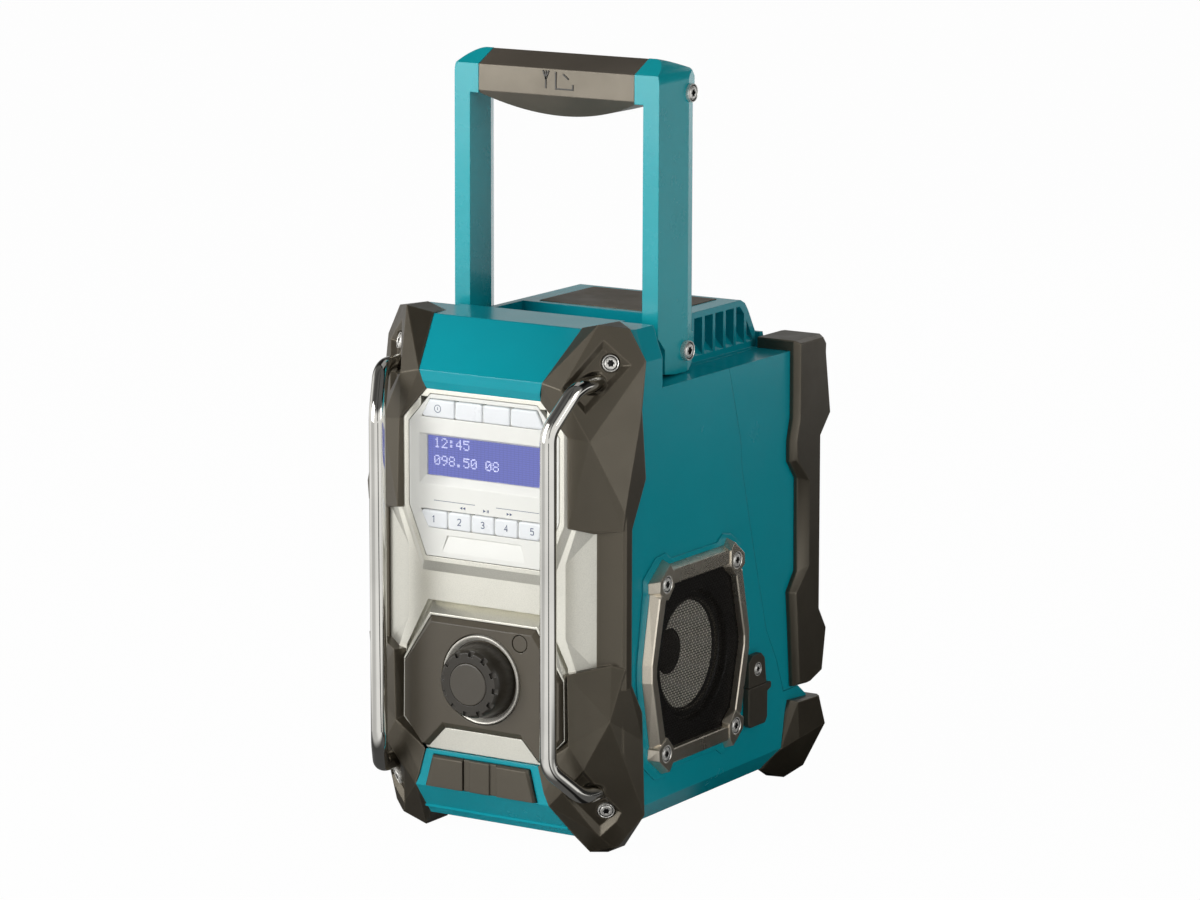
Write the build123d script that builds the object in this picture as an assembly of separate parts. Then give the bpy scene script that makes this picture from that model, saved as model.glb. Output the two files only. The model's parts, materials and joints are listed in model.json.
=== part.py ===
from build123d import *
import itertools
import math
import os

# Jobsite radio, millimetres. +Z is up, -Y is the front with the controls, X = 0 is the middle.
# The origin is on the floor, under the middle of the radio. The handle stands upright.

# ---------------------------------------------------------------- driving dimensions
# Case
CASE_HALF = 78.0          # half width of the case over its side faces
WALL = 3.0                # wall of the moulded shells
SEAM = 0.3                # gap between two pieces that part or move
CASE_FRONT = -87.0        # joint between the main housing and the front case
BAND_BACK = -78.0         # the same joint behind the top band
DECK_TOP = 284.0          # flat top of the front band
DECK_REAR = -44.0         # rear edge of that flat top
SHOULDER_REAR = -47.5     # rear end of the shoulders beside it
SHOULDER_TOP_HALF = 72.0  # half width of the shoulders at their top
SHOULDER_BEND = 267.0     # height where the shoulders start to lean in
LEDGE_TOP = 251.0         # side ledges that the folded handle lies over
HUMP_HALF = 52.5          # half width of the hump between the handle legs
HUMP_TOP = LEDGE_TOP + 27.7
HUMP_FRONT = 11.0         # front wall of the hump, rear wall of the trough
HUMP_BEND = 77.5          # where the hump starts to slope down
HUMP_REAR = 93.5
HUMP_REAR_TOP = LEDGE_TOP + 8.0
RAIL = 4.5                # side rails of the trough
TROUGH_FLOOR = LEDGE_TOP + 11.0
BELLY = 13.8              # underside of the case
BELLY_EDGE = 26.0         # lower edge of the side faces
STRIP_LOW = 9.1           # lowest edge of the front strip
BELLY_IN = 10.0           # how far the belly is set in from the side faces
CASE_REAR = 110.0         # rear face of the case and of the battery door

# Battery door and bay
DOOR_SEAM = [(22.2, 251.0), (35.2, 209.5), (37.1, 192.5), (52.1, 139.5), (64.9, 97.4), (76.4, 78.0), (84.6, 58.5)]
DOOR_LOW = 58.5           # lower edge of the door
DOOR_AXIS = (112.0, 57.0) # y and z of the door's hinge
BAY_HALF = 57.0           # half width of the battery bay's box
BAY_FRONT = 38.0
BAY_REAR = 91.0
BAY_LOW = 64.0
DOOR_TOP_FRONT = 94.0     # front edge of the door's top between the ledges
SEAL = 2.3                # depth of the rubber door seal
PIN_R = 2.0

# Front
BEZEL_BACK = -90.0
BEZEL_FACE = -99.0        # lower silver surface
PANEL_FACE = -101.5       # display panel
KEY_FACE = -102.5
KNOB_PLATE_FACE = -104.4
STRIP_FACE = -104.0       # teal strip with the socket caps
CAP_FACE = -106.6
CAP_EDGE = 1.2            # slope along the top and the free side of the caps
BAND_LOW = 247.6          # lower edge of the top band
STRIP_TOP = 50.5
KEY_GAP = 0.5
KEY_TRAVEL = 0.8
STEM_END = -87.9          # rear ends of the key stems, just clear of the key board
KNOB_Z = 93.2
RING_R = 24.2
RING_IN_R = 22.2
RING_GAP = 0.8            # groove round the ring
KNOB_BASE_R = 20.6
KNOB_RIM_R = 18.4
KNOB_CAP_R = 11.6
KNOB_FRONT = -117.0
KNOB_EDGE = 1.5           # slope of the knob's front edge
KNOB_NOTCHES = 12
NOTCH_WIDE, NOTCH_LONG, NOTCH_DEEP = 3.0, 3.2, 1.4
NOTCH_TURN = 24.0         # degrees from +X to the first notch
PLATE_SLOPE = 2.4         # depth of the slopes round the knob plate
MODE_X, MODE_Z, MODE_R = 24.6, 116.0, 4.4

# Bumpers and guard bars
BUMPER_PROUD = 4.0        # how far the bumpers stand out from the side faces
BUMPER_HALF = CASE_HALF + BUMPER_PROUD
REAR_BUMPER_IN = 57.0     # inner side of the rear bumpers
REAR_PAD = 3.0            # thickness of their raised pads
REAR_OUT = BUMPER_HALF + 1.5
REAR_BASE = REAR_OUT - REAR_PAD
BAR_R = 4.5
BAR_X = 54.0
BAR_Y = -122.2
BAR_TOP = 236.0           # upper bend of the bar
BAR_LOW = 55.5            # lower bend
BAR_BEND = 14.0           # radius of the bends
BAR_ROOTS = ((61.6, 257.8, -107.0, -81.0), (64.6, 37.7, -105.0, -86.6))   # x, height, second bend, end of each root
SCREW_R = 4.5             # heads of the bumper screws
TOP_SCREW = (67.1, -81.9, 268.1)
LOW_SCREW = (67.4, -85.6, 26.4)
TOP_FACET = (0.668, -0.703, 0.245)
LOW_FACET = (0.562, -0.755, -0.337)
POCKET = 2.2              # depth of the screws below the facets
POCKET_DEPTH = 3.0
SEAT_DEPTH = 7.0          # how deep the case is cut back under the bumper corners

# Speakers
SPEAKER_Y, SPEAKER_Z = -14.5, 99.0
SPEAKER_SCREW_Y, SPEAKER_SCREW_Z = 36.7, 46.5
CONE_R = 30.0
SPEAKER_HOLE_R = 36.0
PAD = 0.8                 # raised pad of the case under the speaker frame
FRAME_THICK = 4.8
FRAME_OUT = CASE_HALF + PAD + FRAME_THICK   # outer face of the speaker frames
CORNER_OUT = FRAME_OUT + 0.6                # outer face of their corner blocks
FRAME_EDGE = 0.5          # chamfer of the frame's bars
FRAME_SCREW_HEAD = 1.6    # depth of the screw heads in the corner blocks
GRILLE = 0.8

# Handle
PIVOT_UP = 12.3           # height of the handle's pivot over the ledges
PIVOT = (-2.5, LEDGE_TOP + PIVOT_UP)     # y and z of the pivot
LEG_GAP = 2.5             # between the hump and the legs
LEG_WIDE = 10.0
LEG_IN = HUMP_HALF + LEG_GAP
LEG_OUT = LEG_IN + LEG_WIDE
LEG_FRONT, LEG_BEND, LEG_REAR = -31.0, -0.3, 8.6
LEG_CLEAR = 0.6           # gap between the legs' feet and the ledges
LEG_THIN_FROM = LEDGE_TOP + 21.0   # the legs taper towards the rear above this height
HANDLE_TOP = 421.2
HANDLE_CORNER = 12.0      # radius of the handle's upper corners
RIDGE_Y = -15.8           # the handle's highest line
CREST_FRONT, CREST_REAR, CREST_BACK = 7.4, 5.8, 10.7   # how far its edges lie below that line
ARM_STUB = 5.5            # how far the arms reach in towards the grip
GRIP_HALF = LEG_IN - ARM_STUB
GRIP_DEEP = 23.2          # height of the grip at its ends
GRIP_LOW = HANDLE_TOP - GRIP_DEEP
GRIP_BELLY = GRIP_LOW - 10.5
AERIAL = (-10.0, HANDLE_TOP - 15.7)   # y and z of the aerial in the grip
AERIAL_R = 2.9
AERIAL_HALF = GRIP_HALF - 9.8
PIVOT_R = 3.5
PIVOT_HEAD_R = 4.8
HANDLE_SCREW = (1.3, GRIP_LOW + 4.2)
RUN = 0.05                # radial running clearance of the pivots

PARTS = {}


# ---------------------------------------------------------------- helpers
def keep(name, *solids):
    """Store the finished solids of one named piece."""
    PARTS[name] = list(solids)


def box(x0, x1, y0, y1, z0, z1):
    solid = Box(x1 - x0, y1 - y0, z1 - z0, align=(Align.MIN, Align.MIN, Align.MIN))
    return Pos(x0, y0, z0) * solid


def prism(points, direction, length):
    face = Face(Wire.make_polygon([Vector(*p) for p in points], close=True))
    return extrude(face, amount=length, dir=direction)


def side_prism(points, x0, x1):
    """Extrude a (y, z) outline along X."""
    return prism([(x0, y, z) for y, z in points], (1, 0, 0), x1 - x0)


def front_prism(points, y0, y1):
    """Extrude an (x, z) outline along Y."""
    return prism([(x, y0, z) for x, z in points], (0, 1, 0), y1 - y0)


def plan_prism(points, z0, z1):
    """Extrude an (x, y) outline along Z."""
    return prism([(x, y, z0) for x, y in points], (0, 0, 1), z1 - z0)


def both_sides(points):
    """Close a right-hand (x, z) outline with its mirror image."""
    return points + [(-x, z) for x, z in reversed(points)]


def rod(start, end, radius):
    """Round bar from one point to another."""
    axis = Vector(*end) - Vector(*start)
    plane = Plane(origin=start, z_dir=axis)
    return plane * Cylinder(radius, axis.length, align=(Align.CENTER, Align.CENTER, Align.MIN))


def beyond(point, normal, size=400.0):
    """Half space in front of a plane."""
    plane = Plane(origin=point, z_dir=normal)
    return plane * Box(size, size, size, align=(Align.CENTER, Align.CENTER, Align.MIN))


def mirrored(solid):
    return mirror(solid, about=Plane.YZ)


def moved(point, normal, distance):
    n = Vector(*normal).normalized()
    return Vector(*point) + n * distance


def plane_faces(points, tolerance=1e-4):
    """Flat outer faces of a cloud of corner points, as sets of corner numbers with a normal."""
    found = {}
    for i, j, k in itertools.combinations(range(len(points)), 3):
        normal = (points[j] - points[i]).cross(points[k] - points[i])
        if normal.length < 1e-6:
            continue
        normal = normal.normalized()
        heights = [(p - points[i]).dot(normal) for p in points]
        if max(heights) > tolerance and min(heights) < -tolerance:
            continue
        if max(heights) > tolerance:
            normal = normal * -1
        found[frozenset(n for n, h in enumerate(heights) if abs(h) <= tolerance)] = normal
    return found


def hull(corners):
    """Convex block with flat facets through its corner points."""
    points = [Vector(*c) for c in corners]
    faces = []
    for numbers, normal in plane_faces(points).items():
        ring = [points[n] for n in numbers]
        middle = sum(ring, Vector(0, 0, 0)) * (1 / len(ring))
        across = (ring[0] - middle).normalized()
        up = normal.cross(across)
        ring.sort(key=lambda p: math.atan2((p - middle).dot(up), (p - middle).dot(across)))
        faces.append(Face(Wire.make_polygon(ring, close=True)))
    return Solid(Shell(faces))


def frustum(low, low_y, high, high_y):
    """Block between an (x, z) outline at one depth and another outline in front of it."""
    return hull([(x, low_y, z) for x, z in low] + [(x, high_y, z) for x, z in high])


def between(low, low_y, high, high_y):
    """Block with sloping sides between two (x, z) outlines that have as many points, at two depths."""
    faces = [make_face(Polyline(*[(x, y, z) for x, z in points], close=True)) for points, y in ((low, low_y), (high, high_y))]
    return loft(faces, ruled=True)


def cylinder_y(x, z, radius, y0, y1):
    return rod((x, y0, z), (x, y1, z), radius)


def cylinder_x(y, z, radius, x0, x1):
    return rod((x0, y, z), (x1, y, z), radius)


def torx_screw(head, axis, head_r, head_h, shank_r, shank_l):
    """Pan head screw with a socket; head is the middle of the head's outer face."""
    n = Vector(*axis).normalized()
    top = Vector(*head)
    under = top - n * head_h
    tip = under - n * shank_l
    screw = rod(tuple(under), tuple(top), head_r) + rod(tuple(tip), tuple(under), shank_r)
    socket = Plane(origin=tuple(top - n * head_h * 0.6), z_dir=n) * extrude(RegularPolygon(head_r * 0.5, 6), head_h)
    return screw - socket


# ---------------------------------------------------------------- outlines shared by pieces
BAND_OUTLINE = [(47.2, DECK_TOP), (39.0, 258.1), (37.1, 252.2), (36.2, BAND_LOW)]
RAISED_LOW = [(40.0, 251.0), (54.0, 233.0), (54.0, 181.0), (41.0, 148.0)]
RAISED_HIGH = [(36.2, BAND_LOW), (50.7, 231.0), (50.7, 182.5), (38.5, 154.0)]
PANEL_OUTLINE = [(33.8, 244.9), (47.6, 229.2), (47.6, 183.8), (36.8, 156.8)]
TOP_KEYS = (232.6, 242.3, 39.2, 34.0)       # low z, high z, half width at low z, at high z
PRESET_KEYS = (172.5, 182.0, 35.0, 40.0)
WINDOW = (37.8, 200.4, 222.0)               # half width, low z, high z of the clear view
ZONE_OUTLINE = [(37.6, 132.0), (51.6, 105.0), (51.6, 66.0), (36.5, STRIP_TOP + 0.4)]
ZONE_FLOOR = [(36.9, 131.0), (51.0, 104.6), (51.6, 66.0), (36.5, STRIP_TOP + 0.4)]
ZONE_TOP = [(34.4, 125.6), (51.2, 99.0), (51.6, 66.0), (36.5, STRIP_TOP + 0.4)]
PLATE_OUTLINE = [(33.4, 124.2), (50.4, 97.8), (50.8, 66.4), (37.6, 52.2), (35.2, 52.2), (24.6, 63.4)]
CROWN_OUTLINE = [(32.0, 121.3), (49.2, 97.2), (49.4, 67.0), (38.3, 53.6), (37.0, 53.8), (25.0, 66.4)]
CAP_TOP, CAP_LOW = 48.0, 30.6
CAP_X = (10.9, 30.7, 35.3)                  # hinge side, free side at the top and at the bottom


def frame_ring(points):
    """Full outline, about the speaker's centre, from one quarter of it."""
    quarter = [(y, z) for y, z in points]
    right = quarter + [(y, -z) for y, z in reversed(quarter)]
    full = right + [(-y, z) for y, z in reversed(right)]
    clean = [p for n, p in enumerate(full) if p != full[n - 1]]
    return [(SPEAKER_Y + y, SPEAKER_Z + z) for y, z in clean]


# Quarters of outlines about the speaker's centre, as (y, z): foot and top of the frame, its opening, the pads
FRAME_FOOT = [(30.0, 55.4), (46.2, 43.0), (53.8, 5.0)]
FRAME_TOP = [(29.0, 53.0), (43.4, 39.5), (51.2, 5.0)]
FRAME_INNER = [(30.0, 45.4), (37.0, 37.4), (45.8, 2.5)]
FRAME_PAD = [(24.0, 58.0), (30.0, 61.8), (39.0, 60.0), (49.5, 52.5), (50.5, 44.0), (55.0, 5.0)]
FRONT_PAD = [(24.0, 58.0), (30.0, 61.8), (40.5, 60.7), (53.0, 51.0), (53.0, 44.0), (59.0, 5.0)]
BLOCK_FOOT = [(33.6, 59.0), (48.0, 48.2), (47.6, 42.6), (36.4, 36.8), (28.6, 43.0), (29.2, 53.4)]
BLOCK_TOP = [(33.8, 57.0), (44.2, 49.2), (44.6, 43.2), (35.8, 37.8), (29.8, 44.2), (30.2, 52.8)]
GRILLE_EDGE = [(31.6, 47.2), (38.8, 38.4), (47.6, 2.5)]


# ---------------------------------------------------------------- bumper blocks (right side)
def top_block():
    return hull([
        (60.9, -63.2, 287.3), (60.7, -84.0, 288.1), (73.0, -72.4, 285.6), (BUMPER_HALF, -70.5, 268.8),
        (50.7, -104.9, 255.4), (47.2, -78.2, DECK_TOP + 0.6), (39.0, -105.0, 258.1), (36.2, -102.0, BAND_LOW),
        (50.7, -99.0, 231.0), (53.4, -102.4, 229.9), (65.6, -100.1, 228.5), (63.2, -99.8, 236.1),
        (BUMPER_HALF, -74.4, 243.4), (BUMPER_HALF, -78.0, 228.0), (47.2, -66.0, DECK_TOP), (50.7, -74.0, 228.0),
    ])


def mid_block():
    return hull([
        (53.4, -102.4, 229.9), (50.7, -99.0, 231.0), (65.6, -100.1, 228.5), (BUMPER_HALF, -74.4, 243.4),
        (BUMPER_HALF, -70.3, 205.9), (BUMPER_HALF, -91.2, 191.0), (54.2, -103.5, 181.7), (50.7, -98.4, 181.1),
        (66.5, -97.0, 179.0), (81.0, -91.5, 181.0), (50.7, -82.0, 231.0), (50.7, -82.0, 181.0),
        (BUMPER_HALF, -84.0, 181.0),
    ])


def strip_block():
    outline = [(66.5, -94.2), (80.6, -91.0), (BUMPER_HALF, -89.4), (BUMPER_HALF, -84.0), (66.5, -84.0)]
    return plan_prism(outline, 95.0, 190.0)


def low_block():
    return hull([
        (51.8, -99.0, 103.0), (55.3, -105.7, 103.4), (63.2, -99.5, 100.5), (76.0, -94.5, 109.0),
        (BUMPER_HALF, -90.4, 107.0), (51.8, -99.0, 64.0), (55.3, -104.5, 64.0), (64.5, -99.7, 65.8),
        (76.0, -96.0, 78.7), (BUMPER_HALF, -73.1, 79.7), (BUMPER_HALF, -72.6, 64.0), (51.8, -80.0, 103.0),
        (51.8, -80.0, 64.0),
    ])


def foot_block():
    block = hull([
        (51.6, -99.0, 66.0), (55.3, -104.5, 64.0), (64.5, -99.7, 65.8), (76.0, -96.0, 78.7),
        (BUMPER_HALF, -73.1, 79.7), (BUMPER_HALF, -70.4, 22.7), (36.2, -104.4, STRIP_TOP), (40.0, -104.6, 36.3),
        (42.7, -104.0, 29.7), (46.4, -84.0, STRIP_LOW), (53.0, -78.9, 0.0), (61.2, -73.7, 0.0), (71.0, -79.0, 6.0),
        (53.0, -58.0, 0.0), (62.0, -58.0, 0.0), (70.0, -58.0, 12.0), (49.0, -58.0, 12.0), (63.5, -102.3, 52.0),
    ])
    return block - beyond(tuple(moved(LOW_SCREW, LOW_FACET, POCKET)), LOW_FACET)


def pocket(points, base, normal, depth):
    """Pocket with walls at 45 degrees and a flat floor, cut into the facet through a base point."""
    plane = Plane(origin=base, z_dir=normal)
    rim = [plane.to_local_coords(Vector(*p)) for p in points]
    rim = [(p.X, p.Y) for p in rim]
    corners = []
    for margin in (-depth, depth):
        corners += [plane.from_local_coords(Vector(x, y, margin)) for x, y in grow(rim, margin)]
    return hull([tuple(p) for p in corners])


def bar_path(side):
    """Centre line of one guard bar, from socket to socket."""
    (top_x, top_z, top_y, top_end), (low_x, low_z, low_y, low_end) = BAR_ROOTS
    points = [
        (top_x, top_end, top_z), (top_x, top_y, top_z), (BAR_X, BAR_Y, BAR_TOP),
        (BAR_X, BAR_Y, BAR_LOW), (low_x, low_y, low_z), (low_x, low_end, low_z),
    ]
    return FilletPolyline(*[(x * side, y, z) for x, y, z in points], radius=BAR_BEND)


def guard_bar(side):
    path = bar_path(side)
    section = Plane(origin=path @ 0, z_dir=path % 0) * Circle(BAR_R)
    return sweep(section, path=path)


TOP_POCKET = [(63.8, -83.8, 280.3), (76.5, -76.3, 267.1), (62.0, -98.5, 243.0), (51.2, -104.0, 256.9)]


LOW_POCKET = [(63.5, -102.8, 52.5), (76.3, -81.0, 25.0), (63.3, -85.3, 11.5), (51.0, -105.5, 35.5)]


# ---------------------------------------------------------------- main housing
def housing_outer():
    """Filled outer form of the main housing."""
    seam = [(y - SEAM, z) for y, z in DOOR_SEAM[1:-1]]
    front = side_prism([
        (CASE_FRONT, BELLY), (CASE_REAR - 24, BELLY), (CASE_REAR, 31.0),
        (CASE_REAR, DOOR_LOW - SEAM - 6.5), (CASE_REAR - 9, DOOR_LOW - SEAM), (DOOR_SEAM[-1][0] - SEAM, DOOR_LOW - SEAM),
        *reversed(seam), (DOOR_SEAM[0][0] - SEAM, LEDGE_TOP), (SHOULDER_REAR, LEDGE_TOP), (SHOULDER_REAR, DECK_TOP),
        (BAND_BACK, DECK_TOP), (BAND_BACK, BAND_LOW), (CASE_FRONT, BAND_LOW),
    ], -CASE_HALF, CASE_HALF)
    lean = [(CASE_HALF, SHOULDER_BEND), (CASE_HALF + 9, SHOULDER_BEND), (CASE_HALF + 9, DECK_TOP + 9),
            (SHOULDER_TOP_HALF - (CASE_HALF - SHOULDER_TOP_HALF) * 9 / (DECK_TOP - SHOULDER_BEND), DECK_TOP + 9)]
    belly = [(CASE_HALF, BELLY_EDGE), (CASE_HALF + 9, BELLY_EDGE), (CASE_HALF + 9, BELLY - 9),
             (CASE_HALF - BELLY_IN * (BELLY_EDGE - BELLY + 9) / (BELLY_EDGE - BELLY), BELLY - 9)]
    for outline in (lean, belly):
        cut = front_prism(outline, -200, 200)
        front = front - cut - mirrored(cut)
    bay = box(-BAY_HALF, BAY_HALF, 0, BAY_REAR, BELLY, LEDGE_TOP)
    hump = side_prism([
        (DECK_REAR - 5, LEDGE_TOP - 20), (DECK_REAR - 5, HUMP_TOP), (HUMP_BEND, HUMP_TOP),
        (HUMP_BEND + 4.5, HUMP_TOP - 2.2), (HUMP_BEND + 8.0, HUMP_TOP - 6.4), (HUMP_REAR, HUMP_REAR_TOP), (HUMP_REAR, LEDGE_TOP - 2), (BAY_REAR, LEDGE_TOP - 2), (BAY_REAR, LEDGE_TOP - 20),
    ], -HUMP_HALF, HUMP_HALF)
    side_cut = box(HUMP_HALF, 200, SHOULDER_REAR, 200, LEDGE_TOP, 400)
    body = front + bay + hump
    deck = box(-HUMP_HALF, HUMP_HALF, SHOULDER_REAR - 1, DECK_REAR, LEDGE_TOP, DECK_TOP)
    return body - side_cut - mirrored(side_cut) + deck


def fin_slots():
    """Cooling slots in the hump's sides, each with a curved ramp at its foot."""
    depth, pitch, width, first = 7.0, 11.3, 8.7, 16.0
    rim, foot, bend = HUMP_TOP - 3.6, LEDGE_TOP + 3.0, LEDGE_TOP + 14.5
    wall = HUMP_HALF
    ramp = Spline(
        [(wall - depth, 0, bend), (wall - depth * 0.62, 0, foot + 5.0), (wall + 0.2, 0, foot)],
        tangents=[(0, 0, -1), (0.6, 0, -0.8)],
    )
    line = Polyline((wall + 0.2, 0, foot), (wall + 3, 0, foot), (wall + 3, 0, rim), (wall - depth, 0, rim),
                    (wall - depth, 0, bend))
    face = Face(Wire([ramp, *line.edges()]))
    limit = side_prism([(0, LEDGE_TOP - 1), (0, rim), (HUMP_BEND - 1, rim), (HUMP_BEND + 4.5, rim - 5.5),
                        (HUMP_REAR - 3.2, HUMP_REAR_TOP - 3),
                        (HUMP_REAR - 3.2, LEDGE_TOP - 1)], 0, 100)
    slots = []
    for n in range(7):
        slot = Pos(0, first + n * pitch, 0) * extrude(face, amount=width, dir=(0, 1, 0))
        slots.append(slot & limit)
    return slots


def housing_hollow():
    """Inside of the main housing, in front of the battery bay."""
    inner = CASE_HALF - WALL
    seam = [(y - SEAM - WALL * 1.3, z) for y, z in DOOR_SEAM[1:-1]]
    chamber = side_prism([
        (CASE_FRONT - 1, BELLY + WALL), (CASE_REAR - 26, BELLY + WALL), (CASE_REAR - 6, 32.0),
        (CASE_REAR - 6, 47.5), (CASE_REAR - 12, DOOR_LOW - WALL - 1), (DOOR_SEAM[-1][0] - 8, DOOR_LOW - WALL - 1),
        *reversed(seam), (DOOR_SEAM[0][0] - 5, LEDGE_TOP - WALL),
        (DECK_REAR - 8, LEDGE_TOP - WALL), (DECK_REAR - 8, BAND_LOW - WALL), (CASE_FRONT - 1, BAND_LOW - WALL),
    ], -inner, inner)
    chamber &= front_prism(both_sides([(inner, 300), (inner, BELLY_EDGE + 1.5), (64.5, BELLY + WALL)]), -200, 200)
    solid_bay = box(-BAY_HALF, BAY_HALF, BAY_FRONT - WALL, BAY_REAR, BAY_LOW - WALL, LEDGE_TOP)
    corner = box(-inner, -inner + 26, CASE_FRONT - 1, CASE_FRONT + 18, 0, 60)
    top_corner = box(-inner, -inner + 30, CASE_FRONT - 1, CASE_FRONT + 22, 215, 300)
    keep_solid = solid_bay + corner + mirrored(corner) + top_corner + mirrored(top_corner)
    return chamber - keep_solid


def door_knuckles(fixed):
    """Hinge barrels; those of the housing and of the door alternate along the pin."""
    y, z = DOOR_AXIS
    spans = [(-46, -36), (-6, 6), (36, 46)] if fixed else [(-35.6, -18), (18, 35.6)]
    barrels = []
    for x0, x1 in spans:
        barrel = cylinder_x(y, z, PIN_R + 2.0, x0, x1)
        if fixed:
            web = side_prism([(CASE_REAR - 12, 50.5), (CASE_REAR - 12, 46.0), (y + 1.5, 46.0), (y + 1.8, z - 1.5),
                              (y - 1.8, z - 0.5), (y - 4.0, 51.6)], x0, x1)
        else:
            web = box(x0, x1, CASE_REAR - 2.6, y, z + 1.0, DOOR_LOW + 12)
        barrels.append((barrel + web) - cylinder_x(y, z, PIN_R + RUN, x0 - 1, x1 + 1))
    return barrels


def main_housing(outer):
    body = outer - housing_hollow()
    body -= box(-BAY_HALF + WALL, BAY_HALF - WALL, BAY_FRONT, BAY_REAR + 1, BAY_LOW, LEDGE_TOP - WALL)
    trough_half = HUMP_HALF - RAIL
    body -= box(-trough_half, trough_half, DECK_REAR, HUMP_FRONT, TROUGH_FLOOR, 400)
    for slot in fin_slots():
        body = body - slot - mirrored(slot)
    body -= box(-40.3, 40.3, 15.7, 72.3, HUMP_TOP - 2.0, 400)
    body -= box(-36, 36, 20, 68, LEDGE_TOP + 4, HUMP_TOP - 5)
    for sign in (-1, 1):
        pad = side_prism(frame_ring(FRAME_PAD), CASE_HALF - 1, CASE_HALF + PAD)
        pad += side_prism(frame_ring(FRONT_PAD), CASE_HALF - 1, CASE_HALF + PAD) & box(0, 100, -100, SPEAKER_Y, 0, 200)
        cone_hole = cylinder_x(SPEAKER_Y, SPEAKER_Z, SPEAKER_HOLE_R, CASE_HALF - 6, CASE_HALF + 6)
        boss = cylinder_x(*PIVOT, 7.0, HUMP_HALF - 1, LEG_IN - SEAM)
        holes = [cylinder_x(SPEAKER_Y + a * SPEAKER_SCREW_Y, SPEAKER_Z + b * SPEAKER_SCREW_Z, 1.5, CASE_HALF - 4, CASE_HALF + 2)
                 for a in (-1, 1) for b in (-1, 1)]
        pivot_hole = cylinder_x(*PIVOT, 2.5, HUMP_HALF - 8, LEG_IN)
        extra, cut = pad + boss, [cone_hole, pivot_hole, *holes]
        if sign < 0:
            extra, cut = mirrored(pad) + mirrored(boss), [mirrored(c) for c in cut]
        body += extra
        for c in cut:
            body -= c
    for barrel in door_knuckles(True):
        body += barrel
    body -= box(CASE_HALF - 17, CASE_HALF + 1, 44.0, 56.0, 50.0, 62.0)
    body -= cylinder_x(50.0, 78.5, 1.5, CASE_HALF - 8, CASE_HALF + 1)
    return body


# ---------------------------------------------------------------- battery door
def door_outline():
    return [*DOOR_SEAM, (CASE_REAR, DOOR_LOW), (CASE_REAR, LEDGE_TOP)]


def battery_door():
    skin = side_prism(door_outline(), -CASE_HALF, CASE_HALF)
    inner = CASE_HALF - WALL
    top = LEDGE_TOP - WALL
    hollow = box(-inner, inner, 0, CASE_REAR - WALL, DOOR_LOW + WALL, top)
    middle = box(-BAY_HALF - 0.5, BAY_HALF + 0.5, 0, DOOR_TOP_FRONT, 0, 300)
    door = skin - hollow - middle
    rib_y = BAY_REAR + SEAL + 0.3
    rib = box(-54.5, 54.5, rib_y, CASE_REAR - WALL, BAY_LOW - 1.5, LEDGE_TOP - WALL - 1)
    rib -= box(-52.0, 52.0, rib_y - 1, CASE_REAR - WALL + 1, BAY_LOW + 1.0, LEDGE_TOP - WALL - 3.5)
    door += rib
    for barrel in door_knuckles(False):
        door += barrel
    y, z = DOOR_AXIS
    for x0, x1 in ((-46.5, -35.6 - 0.01), (-6.5, 6.5), (35.61, 46.5)):
        door -= cylinder_x(y, z, PIN_R + 2.6, x0, x1)
    for sign in (-1, 1):
        lug = side_prism([(DOOR_TOP_FRONT + 2, LEDGE_TOP - 1), (DOOR_TOP_FRONT + 3, HUMP_REAR_TOP - 0.8),
                          (DOOR_TOP_FRONT + 6, HUMP_REAR_TOP - 0.8), (DOOR_TOP_FRONT + 9, LEDGE_TOP - 1)], 48.5, 53.5)
        door += lug if sign > 0 else mirrored(lug)
    for x in range(-40, 41, 10):
        door -= box(x - 1.5, x + 1.5, CASE_REAR - 1.0, CASE_REAR + 1, 78, 196)
    door -= box(-20.3, 20.3, CASE_REAR - 2.0, CASE_REAR + 2, 205.7, 240.3)
    return door


def door_latch():
    """Lever on the rear face; its foot is hinged and its top hooks over the case."""
    lever = side_prism([(CASE_REAR - 1.4, 206.5), (CASE_REAR + 2.5, 206.5), (CASE_REAR + 3.5, 214), (CASE_REAR + 3.5, 233),
                        (CASE_REAR + 6.0, 239.5), (CASE_REAR + 2.5, 239.5), (CASE_REAR - 1.4, 236)], -20, 20)
    for z in (218, 222, 226, 230):
        lever -= box(-13, 13, CASE_REAR + 2.7, CASE_REAR + 6, z, z + 1.6)
    return lever


def rear_bumper(door_body):
    """Right rubber bumper on the battery door, wrapping over its top, with a raised pad on its side."""
    outline = [(88.0, 257.0), (117.0, 257.0), (121.2, 252.0), (121.0, 246.4), (126.7, 211.2), (115.6, 199.5),
               (116.0, 101.3), (124.1, 89.1), (119.7, 63.5), (106.0, 59.0), (90.5, 60.2), (87.2, 98.2), (85.4, 115.1),
               (94.1, 125.9), (93.5, 178.7), (84.8, 189.1), (84.6, 201.2), (88.2, 213.7)]
    pad = [(91.0, 255.2), (116.2, 255.2), (119.4, 251.4), (119.2, 246.3), (124.8, 211.7), (113.8, 200.1),
           (114.2, 100.8), (122.3, 88.6), (118.3, 64.8), (105.6, 60.8), (93.3, 62.0), (90.2, 98.4), (88.4, 114.2),
           (102.6, 128.2), (102.0, 176.0), (88.0, 190.4), (87.6, 200.8), (91.2, 213.2)]
    block = side_prism(outline, REAR_BUMPER_IN, REAR_BASE)
    faces = [make_face(Polyline(*[(x, y, z) for y, z in points], close=True))
             for points, x in ((outline, REAR_BASE), (pad, REAR_OUT))]
    block += loft(faces, ruled=True)
    inner_chamfer = plan_prism([(REAR_BUMPER_IN - 1, 113.0), (REAR_BUMPER_IN - 1, 130.0), (REAR_BUMPER_IN + 7, 130.0),
                                (REAR_BUMPER_IN, 114.5)], 0, 300)
    return block - inner_chamfer - door_body


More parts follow.
